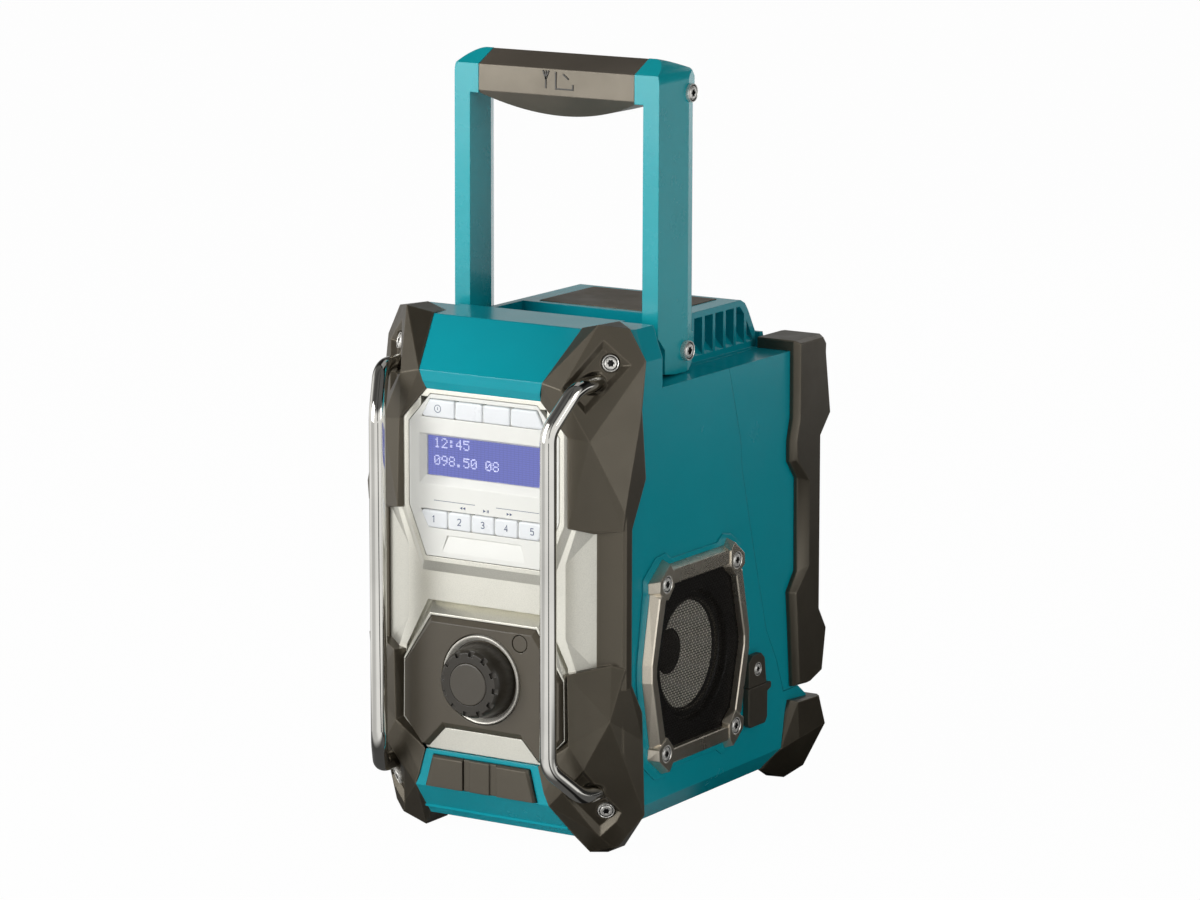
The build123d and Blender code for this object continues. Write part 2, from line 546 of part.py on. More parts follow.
def rear_foot(outer):
    """Right lower rear bumper with the rear foot."""
    block = hull([
        (REAR_OUT, 91.4, 51.2), (REAR_OUT, 93.4, 30.0), (REAR_OUT, 115.3, 50.2), (REAR_OUT, 122.6, 32.6),
        (REAR_BASE, 88.3, 52.5), (REAR_BASE, 90.6, 28.8), (CASE_HALF, 88.3, 52.5), (CASE_HALF, 82.0, 25.1),
        (REAR_BASE, 118.5, 50.1), (REAR_BASE, 125.6, 31.0),
        (67.5, 75.0, BELLY - 0.3), (66.0, 95.9, 9.2), (62.4, 113.1, 0.0), (52.0, 111.0, 0.0), (52.0, 101.7, 11.6),
        (70.0, 122.0, 6.3), (52.0, 119.0, 0.0), (60.0, 119.0, 0.0), (52.0, 125.6, 31.0), (52.0, 118.5, 50.1),
        (52.0, 92.0, 52.5), (58.0, 84.0, 20.0),
    ])
    return block - outer


# ---------------------------------------------------------------- front case, bezel and panels
def front_case():
    """Teal frame at the front: top band, mounting plate and lower strip."""
    plate = front_prism(both_sides([(46.0, 250.0), (56.0, 233.0), (66.0, 180.0), (66.0, 104.0), (51.0, 66.0),
                                    (46.0, 40.0), (46.0, BELLY)]), BEZEL_BACK, CASE_FRONT)
    band = side_prism([(BAND_BACK, BAND_LOW), (BEZEL_BACK, BAND_LOW), (-101.6, BAND_LOW), (-104.1, 252.2), (-104.5, 258.1),
                       (BAND_BACK - 0.2, 283.9), (BAND_BACK, DECK_TOP)], -60, 60)
    band &= front_prism(both_sides(BAND_OUTLINE), -150, 0)
    strip = side_prism([(CASE_FRONT, STRIP_TOP), (STRIP_FACE + 0.2, STRIP_TOP), (STRIP_FACE, 29.7), (-84.0, STRIP_LOW),
                        (-79.5, STRIP_LOW), (-77.5, BELLY), (CASE_FRONT, BELLY)], -60, 60)
    strip &= front_prism(both_sides([(35.8, STRIP_TOP), (42.7, 29.7), (46.4, STRIP_LOW)]), -150, 0)
    case = plate + band + strip
    case -= front_prism(both_sides([(43.0, 228.5), (43.0, 193.5)]), -120, CASE_FRONT + 1)
    case -= front_prism(both_sides([(40.5, 243.5), (40.5, 231.0)]), -95, CASE_FRONT + 1)
    case -= front_prism(both_sides([(41.5, 183.0), (36.5, 171.5)]), -95, CASE_FRONT + 1)
    case -= cylinder_y(0, KNOB_Z, 9.0, -95, CASE_FRONT + 1)
    case -= cylinder_y(MODE_X, MODE_Z, 3.0, -95, CASE_FRONT + 1)
    case -= front_prism(both_sides([(CAP_X[1] + SEAM, CAP_TOP + SEAM), (CAP_X[2] + SEAM, CAP_LOW - SEAM)]),
                        -110, STRIP_FACE + 0.9)
    case -= box(-26.5, -12.5, -110, CASE_FRONT + 1, 35.0, 43.0)
    case -= cylinder_y(21.0, 39.0, 4.2, -110, CASE_FRONT + 1)
    return case


def front_bezel(case):
    """Silver frame with the raised surround of the display and the well of the knob plate."""
    outline = [(36.2, BAND_LOW), (50.7, 231.0), (50.7, 182.0), (66.5, 180.0), (66.5, 104.0), (51.6, 101.0), (51.6, 66.0),
               (36.5, STRIP_TOP + 0.2)]
    slab = front_prism(both_sides(outline), BEZEL_FACE, BEZEL_BACK)
    for sign in (-1, 1):
        corner = hull([(sign * x, y, z) for x, y, z in (
            (50.0, BEZEL_FACE, 161.0), (50.0, BEZEL_FACE, 121.0), (57.0, BEZEL_FACE, 181.0), (57.0, BEZEL_FACE, 103.0),
            (67.0, -92.4, 181.0), (67.0, -92.4, 103.0), (50.0, -106.0, 161.0), (50.0, -106.0, 121.0),
            (57.0, -106.0, 181.0), (57.0, -106.0, 103.0), (67.0, -106.0, 181.0), (67.0, -106.0, 103.0))])
        slab -= corner
    raised = frustum(both_sides(RAISED_LOW), BEZEL_FACE, both_sides(RAISED_HIGH), PANEL_FACE)
    raised &= box(-60, 60, -120, 0, 140, BAND_LOW)
    slab += raised
    well = front_prism(both_sides(ZONE_OUTLINE), -120, BEZEL_FACE + 3.5)
    slab -= well
    slab += frustum(both_sides(ZONE_FLOOR), BEZEL_FACE + 3.5, both_sides(ZONE_TOP), PANEL_FACE - 0.6)
    slab -= front_prism(grow(both_sides(PLATE_OUTLINE), SEAM), -120, BEZEL_FACE - 0.8)
    slab -= front_prism(grow(both_sides(PANEL_OUTLINE), SEAM), -120, PANEL_FACE + 4.0)
    slab -= front_prism(both_sides([(42.0, 227.0), (42.0, 195.0)]), -120, 0)
    slab -= front_prism(both_sides([(40.0, 243.3), (40.0, 231.6)]), -120, 0)
    slab -= front_prism(both_sides([(41.0, 182.8), (36.0, 171.7)]), -120, 0)
    slab -= cylinder_y(0, KNOB_Z, 8.0, -120, 0)
    slab -= cylinder_y(MODE_X, MODE_Z, 2.6, -120, 0)
    return slab - case


def grow(points, margin):
    """Offset a closed outline outwards by a margin."""
    wire = Wire.make_polygon([Vector(x, z, 0) for x, z in points], close=True)
    ring = wire.offset_2d(margin, kind=Kind.INTERSECTION)
    starts = [edge.position_at(0) for edge in ring.order_edges()]
    return [(p.X, p.Y) for p in starts]


def display_panel():
    panel = front_prism(both_sides(PANEL_OUTLINE), PANEL_FACE, PANEL_FACE + 4.0)
    half, low, high = WINDOW
    panel -= frustum(both_sides([(half, high), (half, low)]), PANEL_FACE + 2.6,
                     both_sides([(half + 3.4, high + 1.4), (half + 3.4, low - 4.6)]), PANEL_FACE - 0.01)
    panel -= box(-half, half, -120, 0, low, high)
    low, high, low_half, high_half = TOP_KEYS
    row = both_sides([(high_half + SEAM, high + SEAM), (low_half + SEAM, low - SEAM)])
    panel -= front_prism(row, -120, 0)
    low, high, low_half, high_half = PRESET_KEYS
    row = both_sides([(high_half + SEAM, high + SEAM), (low_half + SEAM, low - SEAM)])
    panel -= front_prism(row, -120, 0)
    panel -= hull([(x, y, z) for x in (-1, 1) for x, y, z in (
        (x * 23.3, PANEL_FACE + 1.0, 168.8), (x * 26.5, PANEL_FACE, 159.5), (x * 23.3, PANEL_FACE - 2, 168.8),
        (x * 26.5, PANEL_FACE - 2, 159.5))])
    return panel


def key_solid(corners, stem_x, z):
    """Key cap with a stem that reaches back to its switch."""
    cap = front_prism(corners, KEY_FACE, KEY_FACE + 4.2)
    return cap + box(stem_x - 2, stem_x + 2, KEY_FACE + 4.2, STEM_END, z - 1.5, z + 1.5)


def key_row(names, row, pitch):
    """Row of keys cut from one trapezoid."""
    low, high, low_half, high_half = row
    count = len(names)
    for n, name in enumerate(names):
        left, right = (n - count / 2) * pitch, (n + 1 - count / 2) * pitch
        x0 = [left + KEY_GAP / 2] * 2
        x1 = [right - KEY_GAP / 2] * 2
        if n == 0:
            x0 = [-low_half, -high_half]
        if n == count - 1:
            x1 = [low_half, high_half]
        corners = [(x0[0], low), (x1[0], low), (x1[1], high), (x0[1], high)]
        keep(name, key_solid(corners, (left + right) / 2, (low + high) / 2))


def knob_plate():
    outline = both_sides(PLATE_OUTLINE)
    rim = KNOB_PLATE_FACE + PLATE_SLOPE
    plate = front_prism(outline, rim, BEZEL_FACE - 0.8)
    plate += between(outline, rim, both_sides(CROWN_OUTLINE), KNOB_PLATE_FACE)
    plate -= cylinder_y(0, KNOB_Z, RING_R + RING_GAP, -120, KNOB_PLATE_FACE + 2.0)
    plate -= cylinder_y(0, KNOB_Z, 7.4, -120, 0)
    plate -= cylinder_y(MODE_X, MODE_Z, MODE_R + 0.5, -120, 0)
    return plate


def knob_ring():
    outer = cylinder_y(0, KNOB_Z, RING_R, KNOB_PLATE_FACE - 0.8, KNOB_PLATE_FACE + 2.0)
    return outer - cylinder_y(0, KNOB_Z, RING_IN_R, -130, 0)


def tuning_knob():
    """Knob with a notched front rim and a recess for its cap."""
    start, rim = KNOB_PLATE_FACE + 0.9, KNOB_FRONT + KNOB_EDGE
    profile = Polyline((0, start), (KNOB_BASE_R, start), (KNOB_RIM_R + 0.5, rim + 1.5), (KNOB_RIM_R, rim),
                       (KNOB_RIM_R - KNOB_EDGE, KNOB_FRONT), (0, KNOB_FRONT), close=True)
    knob = revolve(make_face(profile), Axis.Y)
    knob = Pos(0, 0, KNOB_Z) * knob
    for n in range(KNOB_NOTCHES):
        angle = 360 * n / KNOB_NOTCHES - NOTCH_TURN
        notch = box(KNOB_RIM_R - NOTCH_LONG, KNOB_RIM_R + 3, KNOB_FRONT - 1, KNOB_FRONT + NOTCH_DEEP,
                    -NOTCH_WIDE / 2, NOTCH_WIDE / 2)
        knob -= Pos(0, 0, KNOB_Z) * Rot(0, angle, 0) * notch
    knob -= cylinder_y(0, KNOB_Z, KNOB_CAP_R + 0.15, KNOB_FRONT - 1, KNOB_FRONT + 1.6)
    knob -= cylinder_y(0, KNOB_Z, 3.0 + RUN, KNOB_FRONT + 3.0, start + 1)
    return knob


def front_controls():
    keep("display_panel", display_panel())
    half, low, high = WINDOW
    keep("display_window", box(-half - 2, half + 2, PANEL_FACE + 4.0, PANEL_FACE + 5.2, low - 2, high + 2))
    keep("lcd_module", box(-half - 3, half + 3, PANEL_FACE + 5.2, CASE_FRONT + 1.6, low - 4, high + 4))
    key_row(["key_power", "key_menu", "key_select", "key_info"], TOP_KEYS, 17.6)
    key_row(["preset_key_%d" % (n + 1) for n in range(5)], PRESET_KEYS, 14.9)
    keep("knob_plate", knob_plate())
    keep("knob_ring", knob_ring())
    keep("tuning_knob", tuning_knob())
    keep("knob_cap", cylinder_y(0, KNOB_Z, KNOB_CAP_R, KNOB_FRONT - 0.5, KNOB_FRONT + 1.6))
    shaft = cylinder_y(0, KNOB_Z, 3.0, KNOB_FRONT + 3.0, -91.0)
    shaft += cylinder_y(0, KNOB_Z, 4.4, -96.0, -91.0)
    keep("dial_shaft", shaft)
    encoder = cylinder_y(0, KNOB_Z, 6.9, -99.0, CASE_FRONT + 3.0)
    encoder += box(-8, 8, CASE_FRONT + 0.2, CASE_FRONT + 6.5, KNOB_Z - 8, KNOB_Z + 8)
    encoder -= cylinder_y(0, KNOB_Z, 4.4 + RUN, -97.2, -89.6)
    encoder -= cylinder_y(0, KNOB_Z, 3.0 + RUN, -100, -97.2)
    keep("encoder", encoder)
    button = cylinder_y(MODE_X, MODE_Z, MODE_R, KNOB_PLATE_FACE + 0.2, KNOB_PLATE_FACE + 3.6)
    keep("mode_button", button + cylinder_y(MODE_X, MODE_Z, 1.8, KNOB_PLATE_FACE + 3.6, STEM_END))


def socket_caps():
    """Rubber caps of the front sockets and the block that they hang from."""
    base = STRIP_FACE + 0.9
    hinge_x, top_x, low_x = CAP_X
    outline = [(hinge_x, CAP_LOW), (low_x, CAP_LOW), (top_x, CAP_TOP), (hinge_x, CAP_TOP)]
    crown = [(hinge_x, CAP_LOW), (low_x - CAP_EDGE, CAP_LOW), (top_x - CAP_EDGE, CAP_TOP - CAP_EDGE),
             (hinge_x, CAP_TOP - CAP_EDGE)]
    cap = front_prism(outline, CAP_FACE + CAP_EDGE, base) + between(outline, CAP_FACE + CAP_EDGE, crown, CAP_FACE)
    keep("usb_cap", mirrored(cap))
    keep("aux_cap", cap)
    block = box(-6.4, 6.4, CAP_FACE, base, CAP_LOW, CAP_TOP)
    block += box(-hinge_x + SEAM, hinge_x - SEAM, CAP_FACE + 1.0, base, CAP_LOW, CAP_TOP)
    keep("cap_strap", block)
    usb_socket = box(-26.2, -12.8, -101.5, CASE_FRONT + 6, 35.3, 42.7) - box(-25.0, -14.0, -102, -92, 36.7, 41.3)
    aux_socket = cylinder_y(21.0, 39.0, 4.0, -101.5, CASE_FRONT + 6) - cylinder_y(21.0, 39.0, 1.8, -102, -90)
    keep("front_sockets", usb_socket, aux_socket)


# ---------------------------------------------------------------- power socket on the right side
def power_socket():
    face = CASE_HALF
    anchor = side_prism([(40.5, 69.2), (40.5, 83.5), (44.5, 87.0), (53.5, 87.0), (57.5, 83.5), (59.5, 69.2)], face, face + 3.4)
    anchor -= cylinder_x(50.0, 78.5, 3.7, face + 1.6, face + 5)
    anchor -= cylinder_x(50.0, 78.5, 1.7, face - 1, face + 5)
    flap = side_prism([(39.5, 48.5), (39.5, 68.9), (64.0, 68.9), (64.0, 65.5), (60.0, 64.0), (60.0, 49.5), (57.5, 46.5),
                       (42.0, 46.5)], face + 0.02, face + 4.0)
    keep("dc_cap_anchor", anchor)
    keep("dc_cap", flap)
    keep("dc_cap_screw", torx_screw((face + 3.1, 50.0, 78.5), (1, 0, 0), 3.4, 1.5, 1.5, 9.0))
    jack = box(face - 16, face - 0.6, 44.3, 55.7, 50.3, 61.7) - cylinder_x(50.0, 56.0, 3.0, face - 12, face + 1)
    keep("dc_jack", jack)


# ---------------------------------------------------------------- speakers
def speaker_frame():
    """Frame with sloping outer walls and six-sided corner blocks round the screws."""
    base = CASE_HALF + PAD
    foot, top = frame_ring(FRAME_FOOT), frame_ring(FRAME_TOP)
    ring = hull([(base, y, z) for y, z in foot] + [(FRAME_OUT, y, z) for y, z in top])
    ring -= side_prism(frame_ring(FRAME_INNER), base - 1, FRAME_OUT + 1)
    ring = chamfer(ring.faces().sort_by(Axis.X)[-1].edges(), FRAME_EDGE)
    for a, b in itertools.product((-1, 1), (-1, 1)):
        corners = [(base, SPEAKER_Y + a * y, SPEAKER_Z + b * z) for y, z in BLOCK_FOOT]
        corners += [(CORNER_OUT, SPEAKER_Y + a * y, SPEAKER_Z + b * z) for y, z in BLOCK_TOP]
        ring += hull(corners)
    for a, b in itertools.product((-1, 1), (-1, 1)):
        y, z = SPEAKER_Y + a * SPEAKER_SCREW_Y, SPEAKER_Z + b * SPEAKER_SCREW_Z
        ring -= cylinder_x(y, z, 4.9, CORNER_OUT - FRAME_SCREW_HEAD, CORNER_OUT + 1)
        ring -= cylinder_x(y, z, 1.7, CASE_HALF, CORNER_OUT)
    relief = side_prism(frame_ring(GRILLE_EDGE), CASE_HALF, base + GRILLE)
    return ring - relief


def speakers():
    frame = speaker_frame()
    outline = [(y - 0.2, z - 0.2 if z else 0.0) for y, z in GRILLE_EDGE]
    grille = side_prism(frame_ring(outline), CASE_HALF + PAD, CASE_HALF + PAD + GRILLE)
    keep("speaker_frame_right", frame)
    keep("speaker_frame_left", mirrored(frame))
    keep("speaker_grille_right", grille)
    keep("speaker_grille_left", mirrored(grille))
    flange = CASE_HALF - WALL
    y, z = SPEAKER_Y, SPEAKER_Z
    place = Pos(0, y, z)
    basket_profile = Polyline((flange, CONE_R + 0.3), (flange, 38.0), (flange - 2.5, 38.0), (flange - 4.5, 33.5),
                              (flange - 22, 22.0), (flange - 26, 22.0), (flange - 26, 14.0), (flange - 22, 14.0),
                              (flange - 5.5, CONE_R + 0.3), close=True)
    basket = place * revolve(make_face(Plane.XY * basket_profile), Axis.X)
    cone_profile = Polyline((flange - 2.5, CONE_R), (flange - 4.5, CONE_R), (flange - 16.5, 12.0), (flange - 16.5, 0.0),
                            (flange - 9.0, 0.0), (flange - 10.5, 8.0), (flange - 13.0, 11.8), (flange - 3.5, 26.5), close=True)
    cone = place * revolve(make_face(Plane.XY * cone_profile), Axis.X)
    magnet = cylinder_x(y, z, 21.0, flange - 42, flange - 26)
    keep("speaker_baskets", basket, mirrored(basket))
    keep("speaker_cones", cone, mirrored(cone))
    keep("speaker_magnets", magnet, mirrored(magnet))
    screws = []
    for a, b in itertools.product((-1, 1), (-1, 1)):
        screw = torx_screw((CORNER_OUT + 0.2, y + a * SPEAKER_SCREW_Y, z + b * SPEAKER_SCREW_Z), (1, 0, 0), 4.6,
                           FRAME_SCREW_HEAD + 0.1, 1.5, 8.0)
        screws += [screw, mirrored(screw)]
    keep("speaker_screws", *screws)


# ---------------------------------------------------------------- handle
def handle_side_profile():
    """Side outline; its foot is round about the pivot, so that it clears the ledge as the handle folds."""
    ledge = LEDGE_TOP + LEG_CLEAR
    y, z = PIVOT
    radius = z - ledge
    reach = math.acos((LEG_REAR - y) / radius)
    foot = [(y + radius * math.cos(angle), z - radius * math.sin(angle))
            for angle in [reach + (math.pi / 2 - reach) * n / 4 for n in range(5)]]
    return [(LEG_FRONT + 7.4, ledge + 1.4), (LEG_FRONT + 7.4, ledge + 14.6), (LEG_FRONT, ledge + 21.9),
            (LEG_FRONT + 0.4, HANDLE_TOP - CREST_FRONT), (RIDGE_Y, HANDLE_TOP), (3.4, HANDLE_TOP - CREST_REAR),
            (LEG_REAR, HANDLE_TOP - CREST_BACK), *foot, (-12.0, ledge)]


def handle_arm():
    """Right arm: leg, rounded corner and the short stub that the grip meets."""
    corner, low = HANDLE_CORNER, LEDGE_TOP - 11
    outline = Polyline((LEG_IN, low), (LEG_OUT, low), (LEG_OUT, HANDLE_TOP - corner))
    arc = ThreePointArc((LEG_OUT, HANDLE_TOP - corner), (LEG_OUT - corner * 0.293, HANDLE_TOP - corner * 0.293),
                        (LEG_OUT - corner, HANDLE_TOP))
    rest = Polyline((LEG_OUT - corner, HANDLE_TOP), (GRIP_HALF, HANDLE_TOP), (GRIP_HALF, GRIP_LOW), (LEG_IN, GRIP_LOW),
                    (LEG_IN, low))
    face = make_face(Plane.XZ * (outline + arc + rest))
    arm = Pos(0, 100, 0) * extrude(face, amount=200, dir=(0, -1, 0))
    arm &= side_prism(handle_side_profile(), 40, 80)
    slope = plan_prism([(LEG_OUT, LEG_BEND), (LEG_OUT + 5, LEG_BEND), (LEG_OUT + 5, LEG_REAR + 5),
                        (LEG_OUT - 2.9, LEG_REAR + 5)], low, HANDLE_TOP + 1)
    arm -= slope
    inner = [(LEG_IN - 2, -10.0), (LEG_IN, -10.0), (LEG_OUT - 0.8, LEG_REAR - 1.8), (LEG_OUT - 0.8, LEG_REAR + 5),
             (LEG_IN - 2, LEG_REAR + 5)]
    arm -= plan_prism(inner, LEG_THIN_FROM, GRIP_LOW - 1)
    arm -= cylinder_x(*PIVOT, PIVOT_R + RUN, 0, 100)
    arm -= cylinder_x(*PIVOT, PIVOT_HEAD_R + 0.35, LEG_OUT - 2.3, 100)
    arm -= cylinder_x(*HANDLE_SCREW, 2.1, 0, 100)
    arm -= cylinder_x(*HANDLE_SCREW, 4.9, LEG_OUT - 1.8, 100)
    return arm


def handle_grip():
    """Cross bar with a bulging belly and a bore for the aerial."""
    inset = 0.2
    section = side_prism([(LEG_FRONT + 0.4, GRIP_LOW + 1.5), (LEG_FRONT + 0.6, HANDLE_TOP - CREST_FRONT - inset),
                          (RIDGE_Y, HANDLE_TOP - inset), (3.3, HANDLE_TOP - CREST_REAR - inset),
                          (LEG_REAR - inset, HANDLE_TOP - CREST_BACK - inset), (LEG_REAR - inset, GRIP_LOW),
                          (0.0, GRIP_BELLY), (-22.0, GRIP_BELLY)], -GRIP_HALF + 0.1, GRIP_HALF - 0.1)
    rise = GRIP_LOW - GRIP_BELLY
    radius = (GRIP_HALF ** 2 + rise ** 2) / (2 * rise)
    belly = cylinder_y(0, GRIP_BELLY + radius, radius, -60, 60)
    grip = section & belly
    grip -= cylinder_x(*AERIAL, AERIAL_R + SEAM, -AERIAL_HALF - SEAM, AERIAL_HALF + SEAM)
    hole = cylinder_x(*HANDLE_SCREW, 1.9, GRIP_HALF - 14, GRIP_HALF + 1)
    return grip - hole - mirrored(hole)


def handle():
    arm = handle_arm()
    keep("handle_arm_right", arm)
    keep("handle_arm_left", mirrored(arm))
    keep("handle_grip", handle_grip())
    keep("aerial_rod", cylinder_x(*AERIAL, AERIAL_R, -AERIAL_HALF, AERIAL_HALF))
    screw = torx_screw((LEG_OUT - 0.2, *HANDLE_SCREW), (1, 0, 0), 4.5, 1.5, 1.8, 27.0)
    keep("handle_screws", screw, mirrored(screw))
    head = torx_screw((LEG_OUT + 0.2, *PIVOT), (1, 0, 0), PIVOT_HEAD_R, 2.2, PIVOT_R, LEG_OUT - 2.0 - LEG_IN + SEAM)
    pivot = head + cylinder_x(*PIVOT, 2.4, HUMP_HALF - 7, LEG_IN)
    keep("pivot_screws", pivot, mirrored(pivot))


# ---------------------------------------------------------------- inside
def insides():
    main_board = box(-66, 66, CASE_FRONT + 6.5, CASE_FRONT + 8.1, 66, 196)
    board_face = STEM_END + KEY_TRAVEL + 0.3
    key_board = box(-44, 44, board_face, CASE_FRONT + 6.5, 171.0, 185.0)
    key_board += box(-44, 44, board_face, board_face + 1.6, 171.0, 244.0) - box(-42, 42, -100, -80, 186.0, 231.0)
    amp_board = box(-40, 40, BAY_FRONT - WALL - 1.6, BAY_FRONT - WALL, 80, 180)
    keep("circuit_boards", main_board + key_board, amp_board)
    terminal = box(-32, 32, BAY_FRONT, BAY_FRONT + 9, 150, 200)
    terminal -= box(-24, 24, BAY_FRONT + 4, BAY_FRONT + 10, 149, 190)
    for x in (-16, -5, 5, 16):
        terminal += box(x - 0.6, x + 0.6, BAY_FRONT + 3, BAY_FRONT + 8, 155, 185)
    keep("battery_terminal", terminal)
    seal = box(-54.0, 54.0, BAY_REAR, BAY_REAR + SEAL, BAY_LOW - 2.0, LEDGE_TOP - WALL - 1)
    seal -= box(-51.0, 51.0, BAY_REAR - 1, BAY_REAR + SEAL + 1, BAY_LOW + 1.0, LEDGE_TOP - WALL - 4)
    keep("door_seal", seal)


def build():
    outer = housing_outer()
    case = front_case()
    blocks = [top_block(), mid_block(), strip_block(), low_block(), foot_block()]
    bumper = blocks[0]
    for block in blocks[1:]:
        bumper += block
    top_point = tuple(moved((60.7, -84.0, 288.1), TOP_FACET, -SEAT_DEPTH))
    low_point = tuple(moved(LOW_SCREW, LOW_FACET, POCKET - SEAT_DEPTH))
    top_seat = beyond(top_point, TOP_FACET) & box(45, 100, -150, -40, 190, 300)
    low_seat = beyond(low_point, LOW_FACET) & box(47, 100, -150, -40, -10, 70)
    for seat in (top_seat, low_seat):
        outer = outer - seat - mirrored(seat)
    case = case - low_seat - mirrored(low_seat)
    housing = main_housing(outer)
    for seat in (top_seat, low_seat):
        housing = housing - seat - mirrored(seat)
    bezel = front_bezel(case)
    bumper = bumper - outer - case - bezel
    bumper -= pocket(TOP_POCKET, (60.7, -84.0, 288.1), TOP_FACET, POCKET_DEPTH)
    bumper -= pocket(LOW_POCKET, tuple(moved(LOW_SCREW, LOW_FACET, POCKET)), LOW_FACET, POCKET_DEPTH)
    for x, height, bend, end in BAR_ROOTS:
        socket = cylinder_y(x, height, BAR_R + 0.1, bend, end + 0.1)
        bumper -= socket
        housing = housing - socket - mirrored(socket)
        bumper -= cylinder_y(x, height, BAR_R + 1.6, -130, end - 4.4)
    screws = []
    for point, facet in ((TOP_SCREW, TOP_FACET), (LOW_SCREW, LOW_FACET)):
        screw = torx_screw(tuple(moved(point, facet, 0.4)), facet, SCREW_R, 2.4, 2.0, 9.0)
        hole = rod(tuple(moved(point, facet, -12.5)), tuple(moved(point, facet, 6)), 2.1)
        recess = rod(tuple(moved(point, facet, -2.0)), tuple(moved(point, facet, 6)), SCREW_R + 0.7)
        bumper = bumper - hole - recess
        housing = housing - hole - mirrored(hole)
        case = case - hole - mirrored(hole)
        screws += [screw, mirrored(screw)]
    keep("main_housing", housing)
    keep("front_case", case)
    keep("front_bezel", bezel)
    keep("bumper_screws", *screws)
    keep("front_bumper_right", bumper)
    keep("front_bumper_left", mirrored(bumper))
    keep("guard_bar_right", guard_bar(1))
    keep("guard_bar_left", guard_bar(-1))
    front_controls()
    socket_caps()
    power_socket()
    speakers()
    handle()
    insides()
    keep("top_mat", box(-40, 40, 16, 72, HUMP_TOP - 2.0, HUMP_TOP + 0.4))
    door = battery_door()
    keep("battery_door", door)
    keep("door_latch", door_latch())
    keep("hinge_pin", cylinder_x(*DOOR_AXIS, PIN_R, -46.5, 46.5))
    rear = rear_bumper(side_prism(door_outline(), -CASE_HALF, CASE_HALF))
    keep("rear_bumper_right", rear)
    keep("rear_bumper_left", mirrored(rear))
    foot = rear_foot(outer)
    keep("rear_foot_right", foot)
    keep("rear_foot_left", mirrored(foot))


def write():
    os.makedirs("parts", exist_ok=True)
    for name, solids in PARTS.items():
        pieces = []
        for solid in solids:
            pieces += list(solid.solids())
        shape = pieces[0] if len(pieces) == 1 else Compound(children=pieces)
        export_step(shape, "parts/%s.step" % name)
        print(name, len(pieces), [round(p.volume) for p in pieces][:6])


build()
write()
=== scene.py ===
"""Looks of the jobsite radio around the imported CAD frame: finishes, screws, cloth, display and print."""
import json
import math

import bmesh
import bpy
from mathutils import Matrix, Vector

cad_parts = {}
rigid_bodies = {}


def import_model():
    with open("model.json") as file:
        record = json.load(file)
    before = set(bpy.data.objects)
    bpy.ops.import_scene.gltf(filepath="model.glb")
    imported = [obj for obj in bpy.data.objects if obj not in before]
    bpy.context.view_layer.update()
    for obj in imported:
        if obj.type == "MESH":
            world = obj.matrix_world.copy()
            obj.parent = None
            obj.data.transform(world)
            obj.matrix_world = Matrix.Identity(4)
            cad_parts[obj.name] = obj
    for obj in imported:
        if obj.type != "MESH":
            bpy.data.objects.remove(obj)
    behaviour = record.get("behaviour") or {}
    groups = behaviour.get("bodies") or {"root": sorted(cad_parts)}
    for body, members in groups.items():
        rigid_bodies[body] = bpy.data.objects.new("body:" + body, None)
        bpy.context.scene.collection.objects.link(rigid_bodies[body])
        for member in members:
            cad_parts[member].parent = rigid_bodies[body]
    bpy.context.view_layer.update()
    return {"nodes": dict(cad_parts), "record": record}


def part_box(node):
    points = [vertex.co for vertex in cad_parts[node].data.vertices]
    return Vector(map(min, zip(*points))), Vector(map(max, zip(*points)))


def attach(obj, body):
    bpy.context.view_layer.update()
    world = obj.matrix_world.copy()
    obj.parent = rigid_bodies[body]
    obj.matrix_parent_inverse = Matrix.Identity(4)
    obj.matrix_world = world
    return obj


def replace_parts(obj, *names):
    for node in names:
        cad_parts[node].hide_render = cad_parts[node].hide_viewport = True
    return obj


for leftover in list(bpy.data.objects):
    bpy.data.objects.remove(leftover)
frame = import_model()
nodes = frame["nodes"]
BODY_OF = {name: body for body, names in frame["record"]["behaviour"]["bodies"].items() for name in names}
MM = 0.001

# ---------------------------------------------------------------- driving values
# Camera, worked out from the straight edges of the object
CAMERA_AZIMUTH, CAMERA_ELEVATION, CAMERA_ROLL = 32.033, 10.952, 0.139    # degrees
CAMERA_DISTANCE = 2.65888
CAMERA_TARGET = Vector((0.003957, 0.00864, 0.200413))
LENS, SENSOR = 145.22, 36.0
CLIP_NEAR, CLIP_FAR = 0.05, 50.0

# Colours as they are seen, 0 to 255
TEAL = (0, 157, 171)
# Teal of the handle arms: the case's teal lightened as painted light, for the light that falls on the arms
ARM_TEAL_PAINTED_LIGHT = (14, 168, 178)
RUBBER = (50, 45, 36)
RUBBER_SHEEN = (255, 244, 222)
CAP_RUBBER = (52, 48, 41)
MAT_RUBBER = (84, 76, 65)
GRIP = (80, 74, 66)
SILVER = (210, 208, 197)
FRAME_PAINT = (222, 213, 196)
PANEL = (238, 238, 232)
KEY = (238, 241, 243)
PLATE = (80, 73, 60)
KNOB = (50, 46, 39)
KNOB_CAP = (72, 67, 58)
BLACK = (26, 25, 24)
MESH_BLACK = (40, 38, 35)
CHROME = (226, 224, 218)
RING_METAL = (226, 222, 212)
STEEL = (238, 236, 230)
DARK_STEEL = (120, 116, 110)
DISPLAY_BLUE = (138, 143, 195)
DISPLAY_DOT = (206, 208, 236)
INK = (58, 74, 112)
# Cone paper lightened past its own grey: painted light that makes up for the shade of the mesh over it
PAPER_PAINTED_LIGHT = (244, 238, 224)
DUST_CAP = (38, 34, 30)
SOLDER_MASK, COPPER_TRACK = (20, 84, 44), (52, 122, 70)
FLOOR = (238, 238, 238)

